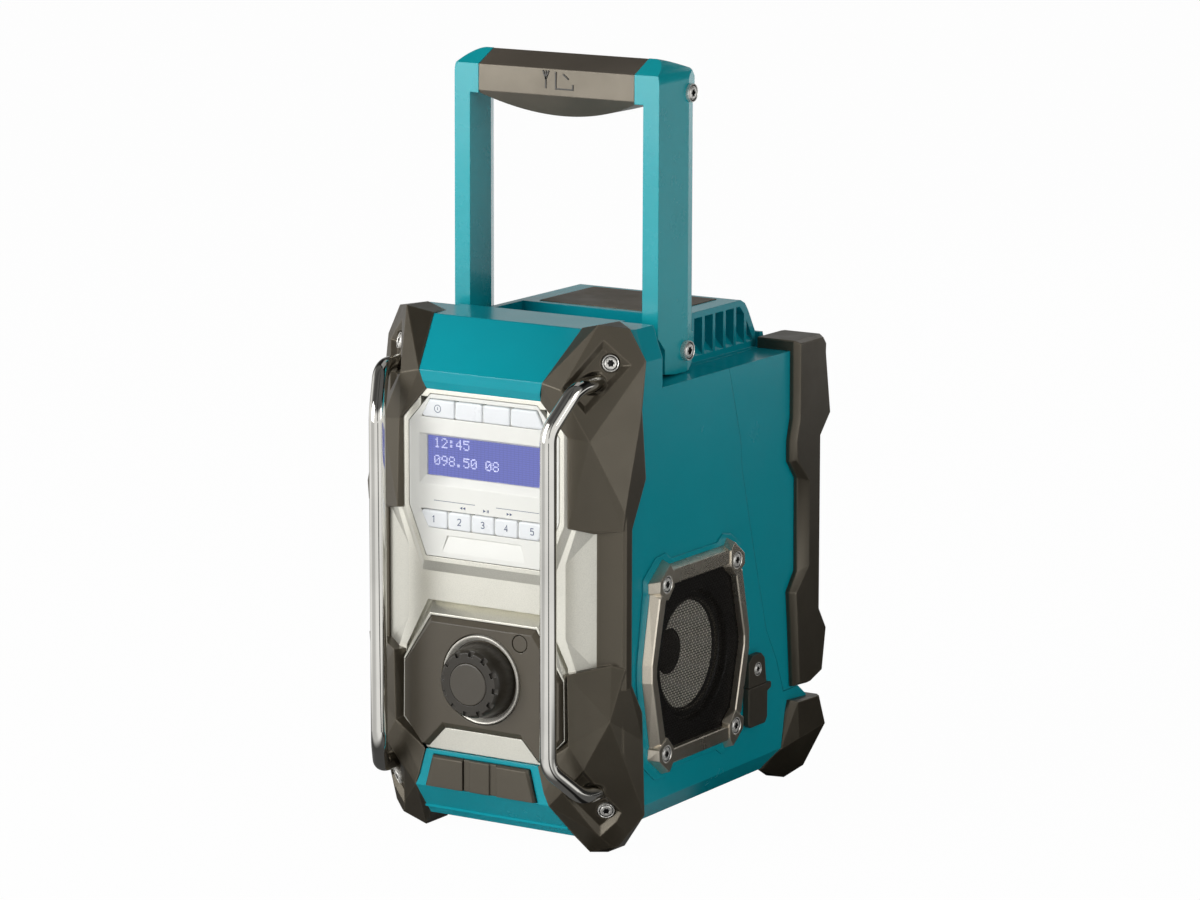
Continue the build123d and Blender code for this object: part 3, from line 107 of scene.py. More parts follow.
# Sizes in metres
EDGE, FINE_EDGE = 0.0007, 0.0005    # shaded rounding of moulded edges, and of the finer ones
WIRE_PITCH, WIRE_R = 0.00145, 0.00017
SPEAKER_Y, SPEAKER_Z = -14.5 * MM, 99.0 * MM
DUST_CAP_R, DUST_CAP_BLUR = 12.4 * MM, 0.4 * MM
SCREW_SEGMENTS, RING_SEGMENTS = 48, 96


# ---------------------------------------------------------------- materials
def linear(rgb):
    """Shader colour of a colour given as seen."""
    parts = []
    for value in rgb:
        share = value / 255
        parts.append(share / 12.92 if share <= 0.04045 else ((share + 0.055) / 1.055) ** 2.4)
    return (*parts, 1.0)


def tinted(colour, factor, lift=0.0):
    """Shader colour made darker or lighter by a factor and a lift."""
    return (*(min(1.0, part * factor + lift) for part in colour[:3]), 1.0)


def map_range(tree, value, start, end, low, high, interpolation="SMOOTHSTEP"):
    """Goes from low to high while the value goes from start to end."""
    node = tree.nodes.new("ShaderNodeMapRange")
    node.interpolation_type = interpolation
    for key, setting in (("From Min", start), ("From Max", end), ("To Min", low), ("To Max", high)):
        node.inputs[key].default_value = setting
    tree.links.new(value, node.inputs["Value"])
    return node.outputs["Result"]


NOISE_LOW, NOISE_HIGH = 0.3, 0.7      # what a noise mostly keeps between
EDGE_FULL, EDGE_NONE = 0.90, 0.998    # cosine of the turn at an edge with full painted wear and highlight, and with none
BEVEL_SAMPLES = 4


class Graph:
    """Small helper that adds and links the shader nodes of one material."""

    def __init__(self, name):
        self.material = bpy.data.materials.new(name)
        self.material.use_nodes = True
        self.tree = self.material.node_tree
        self.tree.nodes.clear()
        output = self.add("ShaderNodeOutputMaterial")
        self.shader = self.add("ShaderNodeBsdfPrincipled")
        self.link(self.shader.outputs[0], output.inputs["Surface"])
        self.place = self.add("ShaderNodeTexCoord").outputs["Object"]

    def add(self, kind, **settings):
        node = self.tree.nodes.new(kind)
        for key, value in settings.items():
            setattr(node, key, value)
        return node

    def link(self, source, target):
        self.tree.links.new(source, target)

    def set(self, **sockets):
        for key, value in sockets.items():
            self.shader.inputs[key.replace("_", " ")].default_value = value

    def placed(self, kind, inputs, vector=None, **settings):
        """Node over the object's own place, or over another vector."""
        node = self.add(kind, **settings)
        for key, value in inputs.items():
            node.inputs[key].default_value = value
        self.link(vector or self.place, node.inputs["Vector"])
        return node

    def mapped(self, key, value):
        """The object's place, turned or stretched."""
        return self.placed("ShaderNodeMapping", {key: value}).outputs[0]

    def noise(self, scale, detail, roughness, vector=None):
        inputs = {"Scale": scale, "Detail": detail, "Roughness": roughness}
        return self.placed("ShaderNodeTexNoise", inputs, vector).outputs["Fac"]

    def ramp(self, source, low, high, start=NOISE_LOW, end=NOISE_HIGH):
        return map_range(self.tree, source, start, end, low, high, "LINEAR")

    def blend(self, share, first, second):
        node = self.add("ShaderNodeMix", data_type="RGBA")
        for source, target in ((share, node.inputs[0]), (first, node.inputs[6]), (second, node.inputs[7])):
            if isinstance(source, tuple):
                target.default_value = source
            else:
                self.link(source, target)
        return node.outputs[2]

    def clouded(self, noise, first, second):
        """Slow change between two colours."""
        return self.blend(self.ramp(self.noise(*noise), 0.0, 1.0), first, second)

    def gloss(self, source, low, high):
        """Roughness that changes with a texture."""
        self.link(self.ramp(source, low, high), self.shader.inputs["Roughness"])

    def rounded_normal(self, radius):
        bevel = self.add("ShaderNodeBevel", samples=BEVEL_SAMPLES)
        bevel.inputs["Radius"].default_value = radius
        return bevel.outputs[0]

    def wear_and_highlight(self, colour, worn_and_lit, radius, share):
        """Base colour that goes over to a lighter one where the surface turns over an edge: edge wear together
        with a painted highlight.
        """
        dot = self.add("ShaderNodeVectorMath", operation="DOT_PRODUCT")
        self.link(self.rounded_normal(radius), dot.inputs[0])
        self.link(self.add("ShaderNodeNewGeometry").outputs["Normal"], dot.inputs[1])
        mask = self.ramp(dot.outputs["Value"], share, 0.0, EDGE_FULL, EDGE_NONE)
        self.link(self.blend(mask, colour, worn_and_lit), self.shader.inputs["Base Color"])

    def bump(self, heights, edge):
        """Chain of bumps, each (height, strength, distance), over a normal that is rounded at the edges."""
        normal = self.rounded_normal(edge) if edge else None
        for height, strength, distance in heights:
            node = self.add("ShaderNodeBump")
            node.inputs["Strength"].default_value = strength
            node.inputs["Distance"].default_value = distance
            self.link(height, node.inputs["Height"])
            if normal:
                self.link(normal, node.inputs["Normal"])
            normal = node.outputs[0]
        self.link(normal, self.shader.inputs["Normal"])


# Noises of the finishes as (scale, detail, roughness), from slow colour changes to the finest grain
CLOUDS = {"moulded": (9.0, 4.0, 0.5), "rubber": (14.0, 5.0, 0.6), "metal": (25.0, 4.0, 0.5),
          "display": (18.0, 2.0, 0.5), "paper": (260.0, 6.0, 0.7)}
PATCHES = {"moulded": (30.0, 5.0, 0.6), "rubber": (45.0, 6.0, 0.65), "paint": (22.0, 4.0, 0.5),
           "window": (400.0, 5.0, 0.7)}
WAVES = {"moulded": (60.0, 2.0, 0.5), "rubber": (120.0, 3.0, 0.5)}
GRAINS = {"moulded": (1400.0, 2.0, 0.5), "rubber": (1100.0, 3.0, 0.6), "metal": (900.0, 4.0, 0.5),
          "paper": (900.0, 4.0, 0.7)}
FLAKES, CELLS, TRACKS = 2600.0, 210.0, 120.0      # scales of the paint flakes, display cells and board tracks


def moulded(name, rgb, roughness, depth=0.00004, spread=0.12, edge=EDGE, wear_and_highlight=0.12, coat=0.0, specular=0.5):
    """Moulded plastic or paint: fine grain, slow colour and gloss changes, edges painted lighter as wear and
    highlight.
    """
    g = Graph(name)
    base = linear(rgb)
    colour = g.clouded(CLOUDS["moulded"], tinted(base, 1 - spread), tinted(base, 1 + spread))
    # Edges painted lighter: wear together with a painted highlight.
    g.wear_and_highlight(colour, tinted(base, 1.25, 0.05), edge * 1.3, wear_and_highlight)
    g.gloss(g.noise(*PATCHES["moulded"]), roughness * 0.88, roughness * 1.15)
    g.set(Specular_IOR_Level=specular, Coat_Weight=coat, Coat_Roughness=0.08)
    g.bump([(g.noise(*GRAINS["moulded"]), 0.35, depth), (g.noise(*WAVES["moulded"]), 0.10, 0.0002)], edge)
    return g.material


def rubber(name, rgb, roughness=0.38, edge=0.0010, rub_and_highlight=0.75):
    """Soft-touch bumper rubber: eroded mould grain, edges painted lighter as wear and highlight, and a satin
    sheen.
    """
    g = Graph(name)
    base = linear(rgb)
    colour = g.clouded(CLOUDS["rubber"], tinted(base, 0.78), tinted(base, 1.2))
    # Edges painted lighter: rubbed wear together with a painted highlight.
    g.wear_and_highlight(colour, tinted(base, 3.4, 0.02), edge * 1.6, rub_and_highlight)
    g.gloss(g.noise(*PATCHES["rubber"]), roughness * 0.85, roughness * 1.2)
    g.set(Specular_IOR_Level=0.9, Specular_Tint=linear(RUBBER_SHEEN))
    g.bump([(g.noise(*GRAINS["rubber"]), 0.35, 0.00005), (g.noise(*WAVES["rubber"]), 0.10, 0.0003)], edge)
    return g.material


def metal(name, rgb, roughness, stretch=(1.0, 1.0, 1.0), edge=0.0, metallic=1.0):
    """Polished or brushed metal with fine drawing marks."""
    g = Graph(name)
    base = linear(rgb)
    marks = g.noise(*GRAINS["metal"], g.mapped("Scale", stretch))
    g.link(g.clouded(CLOUDS["metal"], tinted(base, 0.82), base), g.shader.inputs["Base Color"])
    g.gloss(marks, roughness * 0.75, roughness * 1.4)
    g.set(Metallic=metallic)
    g.bump([(marks, 0.05, 0.00003)], edge)
    return g.material


def flake_paint(name, rgb, roughness, metallic):
    """Metallic paint: fine flakes that catch the light one by one."""
    g = Graph(name)
    base = linear(rgb)
    bright = tinted(base, 1.12, 0.01)
    flakes = g.placed("ShaderNodeTexVoronoi", {"Scale": FLAKES}).outputs["Distance"]
    colour = g.blend(g.ramp(flakes, 1.0, 0.0, 0.1, 0.7), tinted(base, 0.93), bright)
    # Edges painted lighter: wear together with a painted highlight.
    g.wear_and_highlight(colour, bright, FINE_EDGE * 1.3, 0.15)
    g.gloss(g.noise(*PATCHES["paint"]), roughness * 0.9, roughness * 1.12)
    g.set(Metallic=metallic, Coat_Weight=0.25, Coat_Roughness=0.15)
    g.bump([(flakes, 0.02, 0.00003)], FINE_EDGE)
    return g.material


def clear_window(name):
    """Clear acrylic with a faint haze of fine scratches."""
    g = Graph(name)
    g.set(Base_Color=(0.93, 0.95, 1.0, 1.0), IOR=1.49, Transmission_Weight=1.0)
    g.gloss(g.noise(*PATCHES["window"]), 0.02, 0.10)
    return g.material


def display_glow(name, rgb, strength, cells=None):
    """Lit display: an even glow with a faint pattern of cells, or with slow clouds."""
    g = Graph(name)
    base = linear(rgb)
    dim = tinted(base, 0.86)
    if cells:
        white = (1.0, 1.0, 1.0, 1.0)
        inputs = {"Scale": cells, "Mortar Size": 0.04, "Color1": white, "Color2": white}
        upright = g.mapped("Rotation", (math.radians(90), 0, 0))
        grid = g.placed("ShaderNodeTexBrick", inputs, upright, offset=0.0)
        colour = g.blend(grid.outputs["Color"], dim, base)
    else:
        colour = g.clouded(CLOUDS["display"], dim, base)
    g.link(colour, g.shader.inputs["Base Color"])
    g.link(colour, g.shader.inputs["Emission Color"])
    g.set(Emission_Strength=strength, Roughness=0.3)
    return g.material


def paper_cone(name):
    """Pressed speaker cone with a fibre grain and a dark dust cap in its middle."""
    g = Graph(name)
    # Paper colour lightened as painted light, for the mesh's shade.
    base = linear(PAPER_PAINTED_LIGHT)
    paper = g.clouded(CLOUDS["paper"], tinted(base, 0.7), base)
    off_axis = g.add("ShaderNodeVectorMath", operation="MULTIPLY_ADD")
    off_axis.inputs[1].default_value = (0.0, 1.0, 1.0)
    off_axis.inputs[2].default_value = (0.0, -SPEAKER_Y, -SPEAKER_Z)
    g.link(g.place, off_axis.inputs[0])
    reach = g.add("ShaderNodeVectorMath", operation="LENGTH")
    g.link(off_axis.outputs[0], reach.inputs[0])
    cap = g.ramp(reach.outputs["Value"], 1.0, 0.0, DUST_CAP_R, DUST_CAP_R + DUST_CAP_BLUR)
    g.link(g.blend(cap, paper, linear(DUST_CAP)), g.shader.inputs["Base Color"])
    g.set(Roughness=0.75)
    g.bump([(g.noise(*GRAINS["paper"]), 0.4, 0.00008)], 0.0)
    return g.material


def circuit_green(name):
    """Solder mask with a pattern of tracks."""
    g = Graph(name)
    inputs = {"Scale": TRACKS, "Distortion": 3.0}
    tracks = g.placed("ShaderNodeTexWave", inputs, bands_direction="X").outputs["Fac"]
    colour = g.blend(g.ramp(tracks, 0.0, 1.0, 0.7, 0.8), linear(SOLDER_MASK), linear(COPPER_TRACK))
    g.link(colour, g.shader.inputs["Base Color"])
    g.set(Roughness=0.35)
    g.bump([(tracks, 0.1, 0.00005)], 0.0)
    return g.material


MATERIALS = {
    "teal": moulded("teal_plastic", TEAL, 0.24, depth=0.00002, spread=0.05, coat=0.15, specular=0.3),
    # The arms take the case's teal lightened: painted light.
    "arm": moulded("arm_plastic_painted_light", ARM_TEAL_PAINTED_LIGHT, 0.26, depth=0.00002, spread=0.05, coat=0.15, specular=0.3),
    "rubber": rubber("bumper_rubber", RUBBER),
    "cap": rubber("cap_rubber", CAP_RUBBER, 0.5, edge=0.0006, rub_and_highlight=0.3),
    "silver": flake_paint("silver_paint", SILVER, 0.34, metallic=0.75),
    "panel": moulded("display_surround", PANEL, 0.32, spread=0.03, wear_and_highlight=0.05),
    "key": moulded("key_plastic", KEY, 0.28, spread=0.02, edge=FINE_EDGE, wear_and_highlight=0.0),
    "plate": moulded("knob_plate", PLATE, 0.36, spread=0.08),
    "knob": moulded("knob_plastic", KNOB, 0.3, spread=0.08, edge=FINE_EDGE, wear_and_highlight=0.6, specular=0.45),
    "knob_cap": moulded("knob_gloss", KNOB_CAP, 0.3, spread=0.06, edge=0.0008, coat=0.1),
    "grip": rubber("grip_rubber", GRIP, 0.36, edge=0.0008, rub_and_highlight=0.3),
    "mat": rubber("mat_rubber", MAT_RUBBER, 0.5, edge=0.0006, rub_and_highlight=0.2),
    "chrome": metal("polished_chrome", CHROME, 0.07, stretch=(1.0, 1.0, 0.05)),
    "steel": metal("zinc_steel", STEEL, 0.24, edge=0.0002, metallic=0.5),
    "dark_steel": metal("dark_steel", DARK_STEEL, 0.4),
    "ring": metal("bright_ring", RING_METAL, 0.32, metallic=0.3),
    "frame": flake_paint("frame_paint", FRAME_PAINT, 0.28, metallic=0.92),
    "mesh": metal("black_mesh", MESH_BLACK, 0.5),
    "black": moulded("black_plastic_and_painted_shade", BLACK, 0.5, spread=0.1),
    "cone": paper_cone("speaker_paper"),
    "window": clear_window("clear_acrylic"),
    "display": display_glow("display_back", DISPLAY_BLUE, 0.55, cells=CELLS),
    "dots": display_glow("display_dots", DISPLAY_DOT, 0.75),
    "ink": moulded("printed_ink", INK, 0.5, edge=0.0, wear_and_highlight=0.0),
    "board": circuit_green("solder_mask"),
}


def both(*stems):
    """Names of the left and the right node of each kind."""
    return [stem + side for stem in stems for side in ("_left", "_right")]


UPPER_KEYS = ["key_power", "key_menu", "key_select", "key_info"]
PRESET_KEYS = ["preset_key_%d" % (n + 1) for n in range(5)]
NODE_LOOKS = {
    "teal": ["main_housing", "front_case", "battery_door"],
    "arm": both("handle_arm"),
    "rubber": both("front_bumper", "rear_bumper", "rear_foot"),
    "mat": ["top_mat"],
    "cap": ["usb_cap", "aux_cap", "cap_strap", "dc_cap", "dc_cap_anchor", "door_seal"],
    "silver": ["front_bezel"],
    "panel": ["display_panel"],
    "key": UPPER_KEYS + PRESET_KEYS,
    "window": ["display_window"],
    "display": ["lcd_module"],
    "plate": ["knob_plate", "mode_button", "door_latch"],
    "knob": ["tuning_knob"],
    "knob_cap": ["knob_cap"],
    "grip": ["handle_grip"],
    "chrome": both("guard_bar"),
    "ring": ["knob_ring"],
    "dark_steel": ["speaker_baskets", "speaker_magnets", "encoder", "front_sockets"],
    "steel": ["hinge_pin", "dial_shaft", "aerial_rod", "bumper_screws", "dc_cap_screw", "speaker_screws",
              "handle_screws", "pivot_screws"],
    "frame": both("speaker_frame"),
    "mesh": both("speaker_grille"),
    "cone": ["speaker_cones"],
    "black": ["battery_terminal", "dc_jack"],
    "board": ["circuit_boards"],
}


def dress_nodes():
    """Give every CAD node its procedural finish."""
    for look, names in NODE_LOOKS.items():
        for name in names:
            slots = nodes[name].data.materials
            slots.clear()
            slots.append(MATERIALS[look])


ROUNDED = {       # nodes whose edges are rounded in the mesh, by radius in millimetres
    0.8: both("handle_arm", "rear_bumper", "rear_foot") + ["handle_grip", "knob_cap"],
    0.5: both("speaker_frame") + ["front_case", "dc_cap", "usb_cap", "aux_cap", "cap_strap", "knob_plate"],
    0.25: ["front_bezel", "display_panel", "tuning_knob"],
}
WELD_REACH = 0.01 * MM
FLAT_ANGLE, ROUNDED_ANGLE, SHARP_ANGLE = (math.radians(angle) for angle in (0.5, 28, 35))
ROUNDED_STEPS = 3


def round_edges():
    """Rounded edges on the moulded nodes, on the mesh itself."""
    for radius, names in ROUNDED.items():
        for name in names:
            obj = nodes[name]
            weld = obj.modifiers.new("weld", "WELD")
            weld.merge_threshold = WELD_REACH
            flat = obj.modifiers.new("flat", "DECIMATE")
            flat.decimate_type = "DISSOLVE"
            flat.angle_limit = FLAT_ANGLE
            bevel = obj.modifiers.new("bevel", "BEVEL")
            bevel.width = radius * MM
            bevel.segments = ROUNDED_STEPS
            bevel.limit_method = "ANGLE"
            bevel.angle_limit = ROUNDED_ANGLE
            bevel.harden_normals = True
            bevel.use_clamp_overlap = True


# ---------------------------------------------------------------- building pieces
def add_object(name, data):
    obj = bpy.data.objects.new(name, data)
    bpy.context.scene.collection.objects.link(obj)
    return obj


def piece(name, mesh_data, look, body, smooth=True):
    """Turn a bmesh into a piece that rides on a body."""
    mesh = bpy.data.meshes.new(name)
    bmesh.ops.recalc_face_normals(mesh_data, faces=mesh_data.faces)
    mesh_data.to_mesh(mesh)
    mesh_data.free()
    if smooth:
        mesh.shade_smooth()
        mesh.set_sharp_from_angle(angle=SHARP_ANGLE)
    obj = add_object(name, mesh)
    mesh.materials.append(MATERIALS[look])
    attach(obj, body)
    return obj


def skin(data, rings, dark=()):
    """Bands of faces between rings; those that start at the rings in dark take the second material, which
    carries painted shade.
    """
    for number, (low, high) in enumerate(zip(rings, rings[1:])):
        for step in range(len(low)):
            after = (step + 1) % len(low)
            face = data.faces.new((low[step], low[after], high[after], high[step]))
            face.material_index = 1 if number in dark else 0


def close_ends(data, rings):
    """Faces over the first and the last ring; returns the last."""
    data.faces.new(rings[0][::-1])
    return data.faces.new(rings[-1])


def prism(data, outline, front, back):
    """Block between a front and a back plane with an outline of (x, z) points."""
    rings = [[data.verts.new((x, y, z)) for x, z in outline] for y in (front, back)]
    skin(data, rings)
    close_ends(data, rings)


def tile(data, x0, x1, z0, z1, front, back):
    """Thin block that stands out towards the front."""
    prism(data, [(x0, z0), (x1, z0), (x1, z1), (x0, z1)], front, back)


def stroke(data, points, width, front, back):
    """Flat raised line through (x, z) points, with mitred corners."""
    rings = []
    for number, point in enumerate(points):
        here = Vector(point)
        before = (here - Vector(points[number - 1])).normalized() if number else None
        after = (Vector(points[number + 1]) - here).normalized() if number < len(points) - 1 else None
        ahead = ((before or after) + (after or before)).normalized()
        across = Vector((-ahead.y, ahead.x))
        lean = max(0.5, across.dot(Vector((-(after or before).y, (after or before).x))))
        a, b = here + across * width / 2 / lean, here - across * width / 2 / lean
        corners = ((a, front), (b, front), (b, back), (a, back))
        rings.append([data.verts.new((p.x, y, p.y)) for p, y in corners])
    skin(data, rings)
    close_ends(data, rings)


def facing(axis):
    """Rotation that turns +Z to an axis."""
    return Vector(axis).to_track_quat("Z", "Y").to_matrix().to_4x4()


def around(segments):
    """Angles of even steps round a circle."""
    return [2 * math.pi * step / segments for step in range(segments)]


def turned(data, profile, matrix, segments, radius_at=None):
    """Rings of a profile of (radius, height) about Z; radius_at(angle, radius, ring) may shape them."""
    rings = []
    for number, (radius, height) in enumerate(profile):
        ring = []
        for angle in around(segments):
            r = radius_at(angle, radius, number) if radius_at else radius
            ring.append(data.verts.new(matrix @ Vector((r * math.cos(angle), r * math.sin(angle), height))))
        rings.append(ring)
    return rings


def mirror_x(points):
    return points + [(-x, y, z) for x, y, z in points]


# ---------------------------------------------------------------- screws
SCREWS = {      # in millimetres: head radius, height and stand-out over the CAD's head, shank radius and length
    "bumper_screws": (4.5, 2.4, 0.0, 2.0, 9.0),
    "speaker_screws": (4.9, 1.7, 0.0, 1.5, 8.0),
    "handle_screws": (5.0, 1.5, 2.2, 1.8, 27.0),
    "pivot_screws": (5.4, 2.2, 2.8, 2.4, 18.0),
    "dc_cap_screw": (3.9, 1.5, 0.7, 1.5, 9.0),
}
SEATS = [(67.1, -81.9, 268.1), (67.4, -85.6, 26.4)]     # of the right bumper's screws, in millimetres
SEAT_AXES = [(0.668, -0.703, 0.245), (0.562, -0.755, -0.337)]
SEAT_LIFT = 0.4                            # of the head's face over its seat, in millimetres
SPEAKER_HEAD = 4.6 * MM                    # radius of the speaker screws' heads in the CAD
LOBE_SHARE, LOBE_WAVE = 0.36, 0.16         # socket's radius to the head's, and depth of its six lobes
SOCKET_DEPTH, RIM = 2.2 * MM, 1.7 * MM     # of a tall head; a flat one has less
SOCKET_RING = 13                           # first ring of the socket in the whole profile
SHADE_PAINTED_BANDS = (7, 8, 14, 15, 16)            # the groove and the socket, painted black as shade
HEAD_PROFILE = (        # rim, groove and collar: share of the head's radius, depth as a share of the rim
    (1.0, 0.30), (0.97, 0.12), (0.92, 0.08), (0.86, 0.20), (0.83, 0.50), (0.76, 0.50), (0.73, 0.24),
    (0.67, 0.08), (0.58, 0.0))


def screw_head(data, centre, axis, radius, height, shank, length):
    """Pan head screw with a collar and a six-lobed socket."""
    lobe = radius * LOBE_SHARE
    bottom = min(height, SOCKET_DEPTH) * 0.75
    rim = min(height, RIM)
    below = [(shank, -height - length), (shank, -height), (radius * 0.97, -height), (radius, -height * 0.94)]
    head = [(radius * share, -rim * depth) for share, depth in HEAD_PROFILE]
    socket = [(lobe * 1.16, 0.0), (lobe * 1.04, -rim * 0.08), (lobe * 0.98, -bottom), (lobe * 0.4, -bottom),
              (lobe * 0.12, -bottom * 0.9)]

    def six_lobed(angle, r, ring):
        return r * (1 + LOBE_WAVE * math.cos(6 * angle)) if ring >= SOCKET_RING else r

    matrix = Matrix.Translation(centre) @ facing(axis)
    rings = turned(data, below + head + socket, matrix, SCREW_SEGMENTS, six_lobed)
    # The groove and the socket, with the socket's floor, take the black second material: painted shade in the
    # recesses.
    skin(data, rings, SHADE_PAINTED_BANDS)
    close_ends(data, rings).material_index = 1


def screws_for(node, places, axes):
    """One piece with all screws of a node, seated where the CAD has them."""
    radius, height, proud, shank, length = SCREWS[node]
    data = bmesh.new()
    for place, axis in zip(places, axes):
        axis = Vector(axis).normalized()
        centre = Vector(place) + axis * proud * MM
        screw_head(data, centre, axis, radius * MM, (height + proud) * MM, shank * MM, length * MM)
    made = piece(node + "_detailed", data, "steel", BODY_OF[node])
    # Black second slot: painted shade in the groove and the socket.
    made.data.materials.append(MATERIALS["black"])
    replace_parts(made, node)


def build_screws():
    tops = [Vector(seat) + Vector(axis).normalized() * SEAT_LIFT for seat, axis in zip(SEATS, SEAT_AXES)]
    screws_for("bumper_screws", mirror_x([tuple(top * MM) for top in tops]), mirror_x(SEAT_AXES))

    outwards = (1, 0, 0)
    low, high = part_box("speaker_screws")
    rows, levels = ((low[n] + SPEAKER_HEAD, high[n] - SPEAKER_HEAD) for n in (1, 2))
    corners = [(high.x, y, z) for y in rows for z in levels]
    screws_for("speaker_screws", mirror_x(corners), mirror_x([outwards] * len(corners)))

    for node, mirrored in (("handle_screws", True), ("pivot_screws", True), ("dc_cap_screw", False)):
        low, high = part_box(node)
        places, axes = [(high.x, (low.y + high.y) / 2, (low.z + high.z) / 2)], [outwards]
        screws_for(node, mirror_x(places) if mirrored else places, mirror_x(axes) if mirrored else axes)


# ---------------------------------------------------------------- speakers
GRILLE_CORNERS = [(31.6, 47.2), (38.8, 38.4), (47.6, 2.5)]     # quarter of the cloth's outline in millimetres
CLOTH_PROUD = 0.35 * MM       # how far the cloth lies in front of the baffle's plate
BAFFLE_FIT = 0.985            # baffle's outline to the cloth's
BAFFLE_FRONT, BAFFLE_BACK = 0.22 * MM, 0.05 * MM               # from the inner face of the grille
HOLE_R, HOLE_CHAMFER = 35.4 * MM, 0.6 * MM
ROLL_R, ROLL_DEPTH, ROLL_BULGE = 30.0 * MM, 5.6 * MM, 2.2 * MM      # rolled edge of the cone, inner radius
ROLL_STEPS = 8
LIP_WIDTH, LIP_DEPTH = 0.6 * MM, 1.2 * MM                      # inside the roll


def grille_outline():
    quarter = [(y * MM, z * MM) for y, z in GRILLE_CORNERS]
    right = quarter + [(y, -z) for y, z in reversed(quarter)]
    return right + [(-y, z) for y, z in reversed(right)]


def crossings(outline, value, along_y):
    """Where a straight line at one y or z crosses the outline."""
    found = []
    for (y0, z0), (y1, z1) in zip(outline, outline[1:] + outline[:1]):
        a0, a1, b0, b1 = (z0, z1, y0, y1) if along_y else (y0, y1, z0, z1)
        if (a0 - value) * (a1 - value) < 0:
            found.append(b0 + (b1 - b0) * (value - a0) / (a1 - a0))
    return (min(found), max(found)) if len(found) >= 2 else None


def reach_to(outline, angle):
    """Distance from the middle of a convex outline to its edge in one direction."""
    y, z = math.cos(angle), math.sin(angle)
    reaches = []
    for (y0, z0), (y1, z1) in zip(outline, outline[1:] + outline[:1]):
        along_y, along_z = y1 - y0, z1 - z0
        turn = y * along_z - z * along_y
        if abs(turn) > 1e-12:
            reaches.append((y0 * along_z - z0 * along_y) / turn)
    return min(reach for reach in reaches if reach > 0)


def wire(data, points, radius):
    """Square-section wire through points; its ends are closed."""
    rings = []
    for number, point in enumerate(points):
        before, after = points[max(0, number - 1)], points[min(len(points) - 1, number + 1)]
        ahead = (after - before).normalized()
        side = Vector((1, 0, 0)).cross(ahead).normalized()
        out = ahead.cross(side).normalized()
        rings.append([data.verts.new(point + way * radius) for way in (side, out, -side, -out)])
    skin(data, rings)
    close_ends(data, rings)


def woven_cloth(name, node, sign):
    """Woven wire cloth behind the speaker frame."""
    low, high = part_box(node)
    middle_x = (low.x + high.x) / 2 + sign * CLOTH_PROUD
    outline = grille_outline()
    data = bmesh.new()
    half_y = max(y for y, z in outline)
    half_z = max(z for y, z in outline)
    for along_y, half in ((True, half_z), (False, half_y)):
        count = int(half / WIRE_PITCH)
        for line in range(-count, count + 1):
            value = (line + 0.5) * WIRE_PITCH
            span = crossings(outline, value, along_y)
            if not span or span[1] - span[0] < 2 * WIRE_PITCH:
                continue
            first = math.ceil(span[0] / WIRE_PITCH)
            last = math.floor(span[1] / WIRE_PITCH)
            points = []
            for knot in range(first, last + 1):
                lift = WIRE_R * (1 if (knot + line) % 2 else -1) * (1 if along_y else -1)
                y, z = (knot * WIRE_PITCH, value) if along_y else (value, knot * WIRE_PITCH)
                points.append(Vector((middle_x + sign * lift, SPEAKER_Y + y, SPEAKER_Z + z)))
            wire(data, points, WIRE_R)
    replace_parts(piece(name, data, "mesh", BODY_OF[node]), node)


def baffle(name, node, sign):
    """Black baffle behind the cloth, with the opening for the cone and its rolled edge."""
    low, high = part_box(node)
    inner_face = low.x if sign > 0 else high.x
    front, back = inner_face + sign * BAFFLE_FRONT, inner_face + sign * BAFFLE_BACK
    outline = [(y * BAFFLE_FIT, z * BAFFLE_FIT) for y, z in grille_outline()]
    angles = around(RING_SEGMENTS)
    rim = [reach_to(outline, angle) for angle in angles]
    data = bmesh.new()

    def ring(reaches, x):
        return [data.verts.new((x, SPEAKER_Y + reach * math.cos(a), SPEAKER_Z + reach * math.sin(a)))
                for reach, a in zip(reaches, angles)]

    def circle(radius, depth):
        return ring([radius] * RING_SEGMENTS, front - sign * depth)

    rings = [ring(rim, back), ring(rim, front), circle(HOLE_R + HOLE_CHAMFER, 0.0),
             circle(HOLE_R, HOLE_CHAMFER), circle(HOLE_R, ROLL_DEPTH)]
    for step in range(1, ROLL_STEPS + 1):
        share = step / ROLL_STEPS
        bulge = math.sin(math.pi * share) * ROLL_BULGE
        rings.append(circle(HOLE_R + (ROLL_R - HOLE_R) * share, ROLL_DEPTH - bulge))
    rings.append(circle(ROLL_R - LIP_WIDTH, ROLL_DEPTH + LIP_DEPTH))
    skin(data, rings)
    piece(name, data, "black", BODY_OF[node])


def build_speakers():
    for side, sign in (("right", 1), ("left", -1)):
        woven_cloth("speaker_cloth_" + side, "speaker_grille_" + side, sign)
        baffle("speaker_baffle_" + side, "speaker_grille_" + side, sign)


# ---------------------------------------------------------------- keys and knob
# Each row: its keys, and how far the end keys' outer side leans in at the top and below
KEY_ROWS = {"key": (UPPER_KEYS, 5.2 * MM, 0.0), "preset": (PRESET_KEYS, 0.0, 5.0 * MM)}
KEY_CORNER, KEY_CORNER_LEAST = 1.3, 0.3        # radius at the foot and in the face, in millimetres
KEY_PROFILE = (         # margin and depth in millimetres
    (0.0, 3.0), (0.0, 0.9), (0.12, 0.45), (0.4, 0.16), (0.85, 0.03), (1.4, 0.0))
WEB_GAP, WEB_FRONT, WEB_BACK = 0.05 * MM, 0.85 * MM, 2.4 * MM      # webs of the panel between the keys
RING_PROFILE = (        # margin in millimetres, share of the height
    (0.0, 0.0), (0.0, 0.80), (0.15, 0.93), (0.5, 1.0), (1.0, 0.97), (1.5, 0.80), (2.9, 0.22), (2.9, 0.0))


